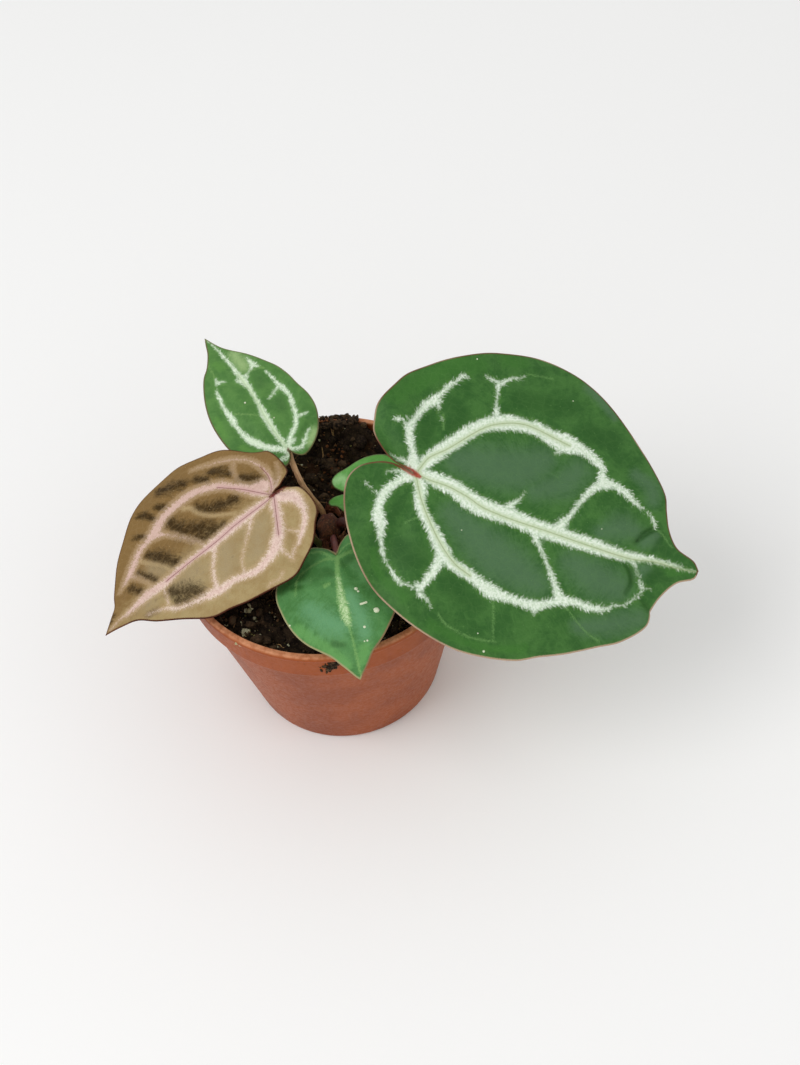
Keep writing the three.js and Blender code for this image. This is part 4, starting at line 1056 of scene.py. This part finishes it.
def stalk_material(name, look):
    s = Shader(f"{name}_stalk_skin", 0.42, 0.45, 0.05)
    skin = s.attribute("skin", "Vector")
    patchy = s.noise(skin, 0.35, 3.0, 0.6)
    share = (s.attribute("run") + patchy.swing(0.25)).step(0.25, 0.85)
    tone = s.mix(share, look["stalk_foot"], look["stalk_top"])
    streaks = s.noise(s.scaled(skin, (0.12, 1.6, 1.0)), 1.3, 3.0, 0.65)
    tone = s.mix(streaks.step(0.48, 0.68, 0.0, 0.7), tone, look["stalk_streak"])
    dots = s.cells(skin, 1.4).step(0.06, 0.12, 0.35, 0.0)
    tone = s.mix(dots, tone, linear(look["stalk_top"], 1.9))
    height = 0.6 * streaks + 0.4 * s.noise(skin, 3.0)
    return s.finish(tone, Roughness=patchy.step(0.3, 0.7, 0.36, 0.5),
                    Normal=s.bump(height, 0.00015, 0.6))


def build_stalk(leaf, look):
    """A round stalk, thick at the foot, with a swollen knee under the blade."""
    stalk, name = leaf["stalk"], leaf["name"]
    up = leaf_turn(leaf) @ np.array([0, 0, 1.0])
    foot = np.array(stalk["route"][0]) - (0, 0, STALK_ROOT)
    ends = [np.array(leaf["place"]) - below * up for below in (stalk["knee"], STALK_END)]
    path = curve_through([foot, *stalk["route"], *ends], count=STALK_RINGS)
    share = np.linspace(0, 1, STALK_RINGS)
    radius = stalk["radius"] * (0.96 + 0.29 * smoothstep(0.84, 0.93, share))
    radius *= 1 - 0.1 * smoothstep(0.96, 1.0, share)
    radius += (stalk["base"] - stalk["radius"]) * (1 - smoothstep(0.02, 0.28, share))
    sideways = [np.array([1.0, 0, 0])]
    for along in directions(path):
        side = sideways[-1] - along * (sideways[-1] @ along)
        sideways.append(side / np.linalg.norm(side))
    around, share_of = turns(STALK_SIDES), share[:, None]
    wobble = 1 + 0.04 * np.sin(3 * around + 9 * share_of) + 0.03 * np.sin(40 * share_of)
    vertices, faces = tube(path, np.array(sideways[1:]), radius[:, None] * wobble)
    skin = np.column_stack([np.repeat(60 * share, STALK_SIDES),
                            np.outer(2 * radius, np.cos(around)).ravel(),
                            np.outer(2 * radius, np.sin(around)).ravel()])
    attributes = {"run": [*np.repeat(share, STALK_SIDES), 0.0, 1.0],
                  "skin": np.vstack([skin, [(0, 0, 0), (60, 0, 0)]])}
    made = make_object(f"{name}_stalk_fine", [stalk_material(name, look)], vertices, faces,
                       attributes)
    piece(made, look["stalk_slot"], f"{name}_stalk")


# Pot

def pot_material():
    """Terracotta-coloured moulded plastic: a little uneven, scuffed and with a painted highlight
    on its lip, dusty with peat.
    """
    s = Shader("terracotta_plastic", 0.42, 0.15)
    place = s.millimetres()
    height = s.part(place, "Z")
    tone = s.mix(s.noise(place, 0.06, 3.0, 0.55).step(0.35, 0.65), (142, 67, 27), (158, 78, 33))
    streaks = s.noise(s.scaled(place, (0.5, 0.5, 0.08)), 1.0, 4.0, 0.6)
    tone = s.mix(streaks.step(0.5, 0.75, 0.0, 0.28), tone, (130, 60, 34))
    dust = s.noise(place, 0.9, 5.0, 0.7)
    near_soil = height.step(60.0, 69.0).step(0.0, 1.0, 0.35, 1.0)
    tone = s.mix(dust.step(0.56, 0.7, 0.0, 0.5) * near_soil, tone, (104, 66, 46))
    # The top of the lip lighter: scuffs together with painted highlight
    worn_and_highlight = height.step(69.2, 69.95) * s.noise(place, 0.5, 4.0, 0.65).step(0.35, 0.65, 0.3, 0.75)
    tone = s.mix(worn_and_highlight, tone, (226, 162, 120))
    crumbs = s.cells(place, 0.55).step(0.05, 0.1, 1.0, 0.0) * s.noise(place, 0.12).step(0.5, 0.6)
    tone = s.mix(0.8 * crumbs, tone, (46, 32, 22))
    scratches = s.noise(s.scaled(place, (0.3, 0.3, 5.0)), 1.0, 3.0, 0.7)
    rough = (dust + 0.4 * scratches).step(0.5, 0.95, 0.36, 0.58)
    bumps = 0.5 * s.noise(place, 1.1, 3.0) + 0.5 * scratches
    return s.finish(tone, Roughness=rough, Normal=s.bump(bumps, 0.00012, 0.35))


def rounded(profile):
    """The corners of a turned outline, each cut by a short curve."""
    points = [np.array(p, float) for p in profile]
    result = []
    for before, corner, after in zip(points, points[1:], points[2:]):
        back, on = before - corner, after - corner
        reach = 0.42 * min(np.linalg.norm(back), np.linalg.norm(on), 1.2)
        start = corner + reach * back / np.linalg.norm(back)
        end = corner + reach * on / np.linalg.norm(on)
        for t in np.arange(ROUNDING_STEPS + 1) / ROUNDING_STEPS:
            result.append((1 - t) ** 2 * start + 2 * t * (1 - t) * corner + t * t * end)
    return result


def build_pot():
    """A thin wall with a rim band, a rolled lip, a foot and drain holes."""
    band_top = POT_HEIGHT - LIP_HEIGHT
    inside = BAND_RADIUS - WALL
    profile = rounded([
        (0, 0), (FOOT_RADIUS - 0.8, 0), (FOOT_RADIUS, 0.9),
        (WALL_TOP_RADIUS, BAND_BOTTOM - 0.6), (BAND_RADIUS - 0.7, BAND_BOTTOM),
        (BAND_RADIUS - 0.3, BAND_BOTTOM + 0.8), (BAND_RADIUS, band_top - 0.5),
        (RIM_RADIUS, band_top + 0.2), (RIM_RADIUS, POT_HEIGHT - 0.6),
        (RIM_RADIUS - 0.6, POT_HEIGHT), (inside - 0.1, POT_HEIGHT),
        (inside - 0.3, POT_HEIGHT - 0.6), (inside - 0.5, BAND_BOTTOM + 2),
        (WALL_TOP_RADIUS - WALL, BAND_BOTTOM - 1.5), (FOOT_RADIUS - WALL, FLOOR), (0, FLOOR),
    ])
    shell = closed([ring(r, z, POT_SIDES) for r, z in profile], (0, 0, 0), (0, 0, FLOOR))
    pot = make_object("pot_shell", [pot_material()], *shell)

    drills = []
    for angle in 2 * np.pi * (np.arange(DRAIN_HOLES) + 0.5) / DRAIN_HOLES:
        centre = (DRAIN_CIRCLE * math.cos(angle), DRAIN_CIRCLE * math.sin(angle))
        rings = [ring(DRAIN_RADIUS, z, DRAIN_SIDES, centre) for z in (-2.0, 4.0)]
        drills.append((*closed(rings, (*centre, -2.0), (*centre, 4.0)), 0))
    cutter = make_object("drain_cutter", [], *joined(drills)[:2])
    cut = pot.modifiers.new("drain", "BOOLEAN")
    cut.operation = "DIFFERENCE"
    cut.solver = "EXACT"
    cut.object = cutter
    drilled = pot.evaluated_get(bpy.context.evaluated_depsgraph_get())
    whole = bpy.data.meshes.new_from_object(drilled)
    pot.modifiers.clear()
    pot.data = whole
    bpy.data.objects.remove(cutter)
    whole.polygons.foreach_set("use_smooth", np.ones(len(whole.polygons), bool))
    whole.set_sharp_from_angle(angle=math.radians(50))
    piece(pot, "pot_plastic", "pot")


# Soil

def soil_height(x, y):
    """The top of the solid soil, banked up to the rim at the back."""
    back = np.hypot(x - MOUND["x"], y - MOUND["y"]) / MOUND["spread"]
    turn = (np.degrees(np.arctan2(y, x)) - BANK["direction"]) / BANK["spread"]
    out = (np.hypot(x, y) - BANK["radius"]) / BANK["depth"]
    bank = BANK["rise"] * np.exp(-turn * turn - out * out)
    heap = 1.4 * np.exp(-(x * x + y * y) / 500)
    lumps = (0.7 * np.sin(0.42 * x + 1.3) * np.cos(0.47 * y)
             + 0.5 * np.sin(0.83 * x - 0.36 * y) + 0.4 * np.cos(0.29 * x + 0.91 * y))
    return SOIL_LEVEL + heap + lumps + MOUND["rise"] * np.exp(-back * back) + bank


def ground_height(x, y):
    """The top of the soil with its fine lumps."""
    coarse = noise.fractal(Vector((0.22 * x, 0.22 * y, 3.0)), 1.0, 2.1, 4)
    fine = noise.turbulence(Vector((0.8 * x, 0.8 * y, 7.0)), 4, False)
    return float(soil_height(x, y)) + (0.9 * coarse + 0.8 * fine - 0.5)


def soil_material():
    s = Shader("peat_ground", 0.95, 0.12)
    place = s.millimetres()
    lumps = s.noise(place, 0.5, 6.0, 0.7)
    tone = s.mix(lumps.step(0.35, 0.68), (24, 17, 12), (60, 47, 34))
    tone = s.mix(s.noise(place, 0.13, 3.0, 0.6).step(0.52, 0.7, 0.0, 0.5), tone, (80, 50, 30))
    tone = s.mix(s.cells(place, 1.3).step(0.1, 0.2, 0.5, 0.0), tone, (104, 86, 58))
    height = 0.7 * lumps + 0.5 * s.noise(place, 2.4, 4.0, 0.7)
    return s.finish(tone, Normal=s.bump(height, 0.0008, 0.9))


def crumb_material(name, dark, light, rough=0.92):
    """Small pieces whose tone is drawn for each one."""
    s = Shader(name, rough, 0.15)
    grain = s.noise(s.millimetres(), 1.8, 4.0, 0.7)
    share = 0.75 * s.attribute("shade") + grain.swing(0.35)
    return s.finish(s.mix(share.step(0.0, 0.95), dark, light), Normal=s.bump(grain, 0.0004, 0.8))


def ball(level):
    """Corners and faces of a unit ball of triangles."""
    t = (1 + 5**0.5) / 2
    corners = [np.roll((a, b, 0), k) for k in range(3) for b in (t, -t) for a in (-1, 1)]
    corners = [corner / np.linalg.norm(corner) for corner in corners]
    faces = [(0, 11, 5), (0, 5, 1), (0, 1, 7), (0, 7, 10), (0, 10, 11), (1, 5, 9), (5, 11, 4),
             (11, 10, 2), (10, 7, 6), (7, 1, 8), (3, 9, 4), (3, 4, 2), (3, 2, 6), (3, 6, 8),
             (3, 8, 9), (4, 9, 5), (2, 4, 11), (6, 2, 10), (8, 6, 7), (9, 8, 1)]
    for _ in range(level):
        middles, finer = {}, []
        for face in faces:
            for a, b in zip(face, face[1:] + face[:1]):
                if frozenset((a, b)) not in middles:
                    middles[frozenset((a, b))] = len(corners)
                    point = corners[a] + corners[b]
                    corners.append(point / np.linalg.norm(point))
            a, b, c = face
            ab, bc, ca = (middles[frozenset(side)] for side in ((a, b), (b, c), (c, a)))
            finer += [(a, ab, ca), (b, bc, ab), (c, ca, bc), (ab, bc, ca)]
        faces = finer
    return np.array(corners), faces


def soil_lumps(places, level, roughness, flat):
    """Lumpy pieces, one at each (x, y, size), partly sunk in the soil."""
    corners, faces = ball(level)
    for x, y, size in places:
        stretch = np.array([1.0, rng.uniform(0.6, 1.0), rng.uniform(*flat)])
        lean = [*rng.uniform(-0.5, 0.5, 2), rng.uniform(0, 6.28)]
        skew = corners @ rng.normal(0, 1, (3, 3))
        lumpy = 1 + roughness * (0.5 * rng.uniform(-1, 1, len(corners))
                                 + 0.6 * np.sin(2.2 * skew[:, 0] + 4 * skew[:, 1] * skew[:, 2]))
        shape = (corners * lumpy[:, None] * stretch) @ np.array(Euler(lean).to_matrix()).T * size
        z = ground_height(x, y) + 0.32 * size * stretch[2]
        yield shape + np.array([x, y, z]), faces, rng.random()


def rim_lumps(lumps, stretch):
    """Small lumps stuck to the rim, each (angle, radius, height, size)."""
    corners, faces = ball(1)
    for angle, radius, height, size in lumps:
        shape = corners * (1 + 0.3 * rng.uniform(-1, 1, (len(corners), 1))) * size
        shape = shape * np.array([rng.uniform(0.6, 1.2), rng.uniform(0.6, 1.2), stretch])
        place = np.array([radius * math.cos(angle), radius * math.sin(angle), height])
        yield shape + place, faces, rng.random()


def strands(routes):
    """Thin closed tubes, tapered at both ends, from (points, radius) pairs."""
    for points, radius in routes:
        path = curve_through(points, count=5 * len(points))
        side = np.cross(directions(path), [0.13, 0.21, 0.97])
        side /= np.linalg.norm(side, axis=1, keepdims=True)
        taper = radius * (0.35 + 0.65 * np.sin(np.pi * np.linspace(0.06, 0.94, len(path))))
        yield *tube(path, side, np.repeat(taper[:, None], STRAW_SIDES, axis=1)), rng.random()


def loose(name, material, bodies):
    """Small pieces of the soil as one object, each with a tone of its own."""
    piece(make_object(name, [material], *joined(bodies)), "peat")


def soil_places(count, smallest, largest, inner=7.0, outer=42.0):
    """Random places on the soil, with sizes that are mostly small."""
    radius = np.sqrt(rng.uniform(inner**2, outer**2, count))
    angle = rng.uniform(0, 2 * np.pi, count)
    size = smallest + (largest - smallest) * rng.random(count) ** 2.5
    return list(zip(radius * np.cos(angle), radius * np.sin(angle), size))


def build_ground():
    """The soil as one closed body: a fine lumpy top, and sides that follow the pot's wall."""
    inside = BAND_RADIUS - WALL - SOIL_GAP
    rings = [ring(radius, 0.0, SOIL_SIDES) for radius in np.linspace(0, inside, SOIL_RINGS + 1)[1:]]
    for level in rings:
        level[:, 2] = [ground_height(x, y) for x, y, _ in level]
    rings += [ring(radius, z, SOIL_SIDES) for radius, z in (
        (inside, BAND_BOTTOM + 2.4), (WALL_TOP_RADIUS - WALL - 0.3, BAND_BOTTOM - 1.5),
        (FOOT_RADIUS - WALL - 0.3, FLOOR + 0.35))]
    vertices, faces = closed(rings, (0, 0, ground_height(0, 0)), (0, 0, FLOOR + 0.35))
    made = make_object("soil_fine", [soil_material()], vertices, [face[::-1] for face in faces])
    piece(made, "peat", "soil")


def build_crumbs(peat, stone):
    """What lies loose on the soil: crumbs and clods of peat, bark, white grains and moss."""
    bark = crumb_material("bark_bits", (84, 54, 34), (166, 128, 84))
    moss = crumb_material("moss_bits", (86, 80, 40), (168, 160, 96))
    rusty = crumb_material("rusty_bits", (78, 46, 28), (138, 90, 54))
    for name, material, count, sizes, level, roughness, flat in (
        ("peat_crumbs", peat, 900, (0.35, 1.7), 1, 0.3, (0.55, 0.9)),
        ("peat_grit", peat, 900, (0.2, 0.7), 0, 0.3, (0.55, 0.9)),
        ("peat_clods", peat, 70, (1.2, 2.8, 12.0, 40.0), 2, 0.24, (0.55, 0.9)),
        ("bark_chips", bark, 760, (0.12, 0.55), 0, 0.3, (0.25, 0.6)),
    ):
        loose(name, material, soil_lumps(soil_places(count, *sizes), level, roughness, flat))
    patch = [(3.5 + 1.6 * rng.normal(), 27 + 4.5 * rng.normal(), rng.uniform(0.2, 0.7))
             for _ in range(60)]
    loose("rusty_patch", rusty, soil_lumps(patch, 1, 0.3, (0.3, 0.7)))
    grains = [(-24.5, -21.9, 1.5), (-25.8, -30.1, 1.1), (-24.6, -29.4, 0.8), (-29.8, -29.5, 1.0),
              (-22.5, -25.4, 0.6), (-30.6, -26.7, 0.45), (-16.8, -26.1, 0.5), (-19.2, -26.2, 0.4),
              (-26.3, -27, 0.3), (-21.3, -30.4, 0.35), (-12.9, -36, 0.35), (-18, -24, 0.3)]
    clusters = [(x + 0.5 * size * rng.normal(), y + 0.5 * size * rng.normal(),
                 size * rng.uniform(0.35, 0.7)) for x, y, size in grains for _ in range(5)]
    clusters += soil_places(150, 0.12, 0.5, 10.0)
    loose("perlite_grains", stone, soil_lumps(clusters, 1, 0.5, (0.5, 0.8)))
    tufts = [(-23.6, -30.3, 0.5), (-22.8, -31, 0.4), (-24, -29, 0.4), (-22.2, -25.0, 0.35)]
    tufts += soil_places(220, 0.12, 0.42, 9.0)
    loose("moss_tufts", moss, soil_lumps(tufts, 1, 0.3, (0.55, 0.9)))


def build_straws():
    """Short straws all over the soil, and three long ones seen at the back."""
    straw = crumb_material("straw_fibre", (96, 66, 38), (196, 158, 108), 0.7)
    routes = []
    for _ in range(150):
        x, y = soil_places(1, 1, 1, 9.0)[0][:2]
        heading, length = rng.uniform(0, 6.28), rng.uniform(1.2, 5.5)
        route = []
        for k in range(4):
            px, py = x + length * k / 3 * math.cos(heading), y + length * k / 3 * math.sin(heading)
            heading += rng.uniform(-0.35, 0.35)
            out = max(1.0, math.hypot(px, py) / STRAW_REACH)
            px, py = px / out, py / out
            route.append((px, py, ground_height(px, py) + rng.uniform(0.05, 0.5)))
        routes.append((route, rng.uniform(0.06, 0.16)))
    for stem, radius in (
        ([(3.7, 42.2), (3.9, 40.5), (4.2, 38.5), (4.6, 36.4)], 0.26),
        ([(0.4, 35.8), (0.6, 34), (0.5, 32), (0.7, 30.2)], 0.2),
        ([(-7, 25.5), (-5, 24.8), (-3, 25.3), (-1.5, 24.6)], 0.22),
    ):
        routes.append(([(x, y, ground_height(x, y) + 0.35) for x, y in stem], radius))
    loose("straw_fibres", straw, strands(routes))


def build_spills(peat, stone):
    """Peat spilled on the rim at the back, a smear of it on the rim in front, and a pale crumb."""
    spilled = []
    for _ in range(520):
        turn, radius = rng.uniform(73.5, 104), rng.uniform(39.5, 45.0)
        size = (0.22 + 0.85 * rng.random() ** 2) * (1 - 0.5 * smoothstep(78, 100, turn))
        angle = math.radians(turn)
        ground = float(soil_height(radius * math.cos(angle), radius * math.sin(angle)))
        lip = POT_HEIGHT if radius > BAND_RADIUS - WALL else POT_HEIGHT - 1.2
        spilled.append((angle, radius, max(ground, lip) + 0.2 * size, size))
    loose("peat_on_lip", peat, rim_lumps(spilled, 0.5))
    smear = []
    for across, up, size in rng.normal(0, 1, (150, 3)):
        size = 0.26 + 0.2 * abs(size)
        height = SMEAR_HEIGHT + 1.6 * up
        angle = math.radians(-91.3) + 0.026 * across + 0.012 * (height - SMEAR_HEIGHT)
        if height < POT_HEIGHT - LIP_HEIGHT - 0.6:
            smear.append((angle, BAND_RADIUS - 0.4 * size, height, size))
    loose("peat_on_rim", peat, rim_lumps(smear, 1.2))
    pale = [(math.radians(232.6), RIM_RADIUS - 0.36, 68.4, 0.8),
            (math.radians(233.4), BAND_RADIUS - 0.2, 67.6, 0.6)]
    loose("pale_crumb_on_rim", stone, rim_lumps(pale, 1.2))


# Crown

def crown_material():
    s = Shader("dry_sheaths", 0.7, 0.25, 0.08)
    place = s.millimetres()
    streaks = s.noise(s.scaled(place, (1.6, 1.6, 0.35)), 1.0, 5.0, 0.7)
    share = 0.7 * streaks + 0.3 * s.attribute("shade")
    tone = s.mix(share.step(0.3, 0.62), (44, 26, 17), (156, 100, 66))
    tone = s.mix(s.noise(place, 0.22).step(0.5, 0.62, 0.0, 0.4), tone, (98, 34, 24))
    tone = s.mix(s.cells(place, 0.9).step(0.1, 0.2, 0.8, 0.0), tone, (176, 132, 92))
    height = 0.8 * streaks + 0.3 * s.noise(place, 2.0, 3.0)
    return s.finish(tone, Roughness=streaks.step(0.3, 0.7, 0.55, 0.8),
                    Normal=s.bump(height, 0.0005, 0.8))


def build_stem():
    """The lumpy stem under the sheaths."""
    x0, y0, foot, top = (CROWN[key] for key in ("x", "y", "foot", "top"))
    around = turns(CROWN_SIDES)
    rings = []
    for z in np.linspace(foot, top - 0.6, CROWN_RINGS):
        t = (z - foot) / (top - foot)
        knobs = [noise.fractal(Vector((1.6 * math.cos(a), 1.6 * math.sin(a), 0.35 * z)),
                               1.0, 2.2, 4) for a in around]
        girth = 0.76 + 0.07 * math.sin(5 * t) - 0.3 * smoothstep(0.8, 1.0, t)
        girth = girth * (0.96 + 0.06 * np.sin(4 * around + 5 * t) + 0.2 * np.array(knobs))
        rings.append(np.column_stack([x0 + CROWN["wide"] * girth * np.cos(around),
                                      y0 + CROWN["deep"] * girth * np.sin(around),
                                      np.full(CROWN_SIDES, z)]))
    return closed(rings, (x0, y0, foot), (x0, y0, top - 0.4))


def sheath_point(number, sheath, skin, t, u):
    """A place on a sheath, from its foot at t = 0 to its point at 1, and across it from -1 to 1."""
    width = sheath["spread"] * (1 - t**1.7) * (0.75 + 0.35 * math.sin(math.pi * t))
    angle = 2.4 * number + 0.3 + sheath["twist"] * t + max(width, 0.03) * u
    torn = noise.noise(Vector((2.2 * u, 3.0 * t, 4.0 * number)))
    swell = 0.25 * (1 - u * u) + 0.12 * math.sin(7 * t + number) + 0.5 * torn
    push = swell + sheath["lean"] * t**2.2 + skin * (1 - 0.6 * t)
    out = 0.9 * (1.0 + 0.03 * (number % 3) + 0.05 * t)
    return (CROWN["x"] + (CROWN["wide"] * out + push) * math.cos(angle),
            CROWN["y"] + (CROWN["deep"] * out + push) * math.sin(angle),
            sheath["base"] + sheath["height"] * t - 0.5 * t * u * u)


def sheath_faces(rows, columns):
    """Faces of a closed scale: an outer and an inner grid, joined round their border."""
    inner = rows * columns
    faces = []
    for a in (r * columns + c for r in range(rows - 1) for c in range(columns - 1)):
        quad = (a, a + 1, a + columns + 1, a + columns)
        faces += [quad, tuple(inner + v for v in quad[::-1])]
    border = [*range(columns), *range(2 * columns - 1, inner, columns),
              *range(inner - 2, inner - columns - 1, -1), *range(inner - 2 * columns, 0, -columns)]
    faces += [(b, a, inner + a, inner + b) for a, b in zip(border, border[1:] + border[:1])]
    return faces


def build_crown():
    """A short lumpy stem wrapped in dry, pointed, overlapping sheaths of two skins each."""
    bodies = [(*build_stem(), 0.3)]
    for number in range(SHEATHS):
        base = 63.2 + 0.2 * number
        sheath = {"base": base, "height": min(rng.uniform(3.0, 7.5), CROWN["top"] - 0.2 - base),
                  "spread": rng.uniform(0.25, 0.6), "lean": rng.uniform(-1.2, 1.0),
                  "twist": rng.uniform(-0.5, 0.5)}
        grid = [sheath_point(number, sheath, skin, r / (SHEATH_ROWS - 1),
                             2 * c / (SHEATH_COLUMNS - 1) - 1)
                for skin in (0.0, -SHEATH_THICKNESS)
                for r in range(SHEATH_ROWS) for c in range(SHEATH_COLUMNS)]
        bodies.append((np.array(grid), sheath_faces(SHEATH_ROWS, SHEATH_COLUMNS), rng.random()))
    piece(make_object("crown_sheaths", [crown_material()], *joined(bodies)), "dry_sheath", "crown")


# Floor, light and camera

def build_stage():
    s = Shader("pale_floor", 0.9, 0.1)
    material = s.finish(s.mix(s.noise(s.metres(), 3.0), (250, 250, 249), (253, 253, 252)))
    size = 3000
    corners = [(-size, -size, 0), (size, -size, 0), (size, size, 0), (-size, size, 0)]
    make_object("floor", [material], corners, [(0, 1, 2, 3)])


def area_light(name, place, size, power):
    data = bpy.data.lights.new(name, "AREA")
    data.shape = "DISK"
    data.size = size
    data.energy = power
    light = bpy.data.objects.new(name, data)
    light.location = place
    direction = Vector(LIGHT_TARGET) - Vector(place)
    light.rotation_euler = direction.to_track_quat("-Z", "Y").to_euler()
    scene.collection.objects.link(light)


def build_light():
    world = bpy.data.worlds.new("soft_daylight")
    world.use_nodes = True
    background = world.node_tree.nodes["Background"]
    background.inputs["Color"].default_value = (1.0, 1.0, 1.0, 1.0)
    background.inputs["Strength"].default_value = 0.68
    scene.world = world
    area_light("window", (-0.75, -0.35, 1.15), 0.9, 6.5)
    area_light("fill", (0.9, -0.6, 0.8), 1.2, 1.6)
    scene.view_settings.view_transform = "Standard"
    scene.view_settings.look = "None"
    scene.view_settings.exposure = 0.0


def build_camera():
    back = Vector((0, -math.cos(CAMERA_HEIGHT), math.sin(CAMERA_HEIGHT)))
    level_right = Vector((1, 0, 0))
    level_up = level_right.cross(-back)
    right = level_right * math.cos(CAMERA_ROLL) + level_up * math.sin(CAMERA_ROLL)
    up = -level_right * math.sin(CAMERA_ROLL) + level_up * math.cos(CAMERA_ROLL)
    data = bpy.data.cameras.new("camera")
    data.sensor_fit = "AUTO"
    data.sensor_width = SENSOR
    data.lens = FOCAL_PIXELS * SENSOR / PHOTO_LONG_SIDE
    data.clip_start = 0.01
    data.clip_end = 20
    camera = bpy.data.objects.new("camera", data)
    camera.location = (AIM + back * CAMERA_DISTANCE) * MM
    camera.rotation_mode = "QUATERNION"
    camera.rotation_quaternion = Matrix((right, up, back)).transposed().to_quaternion()
    scene.collection.objects.link(camera)
    scene.camera = camera


SPECKS = speck_material()
for leaf in (LARGE_LEAF, BRONZE_LEAF, UPPER_LEAF, LOWER_LEAF, YOUNG_LEAF):
    look = {**LOOK_OF_MOST, **LOOKS[leaf["name"]]}
    build_leaf(leaf, look)
    build_stalk(leaf, look)
build_pot()
build_ground()
peat = crumb_material("peat_crumbs_dark", (24, 17, 12), (92, 72, 52))
stone = crumb_material("perlite_white", (176, 170, 128), (236, 232, 200), 0.8)
build_crumbs(peat, stone)
build_straws()
build_spills(peat, stone)
build_crown()
build_stage()
build_light()
build_camera()
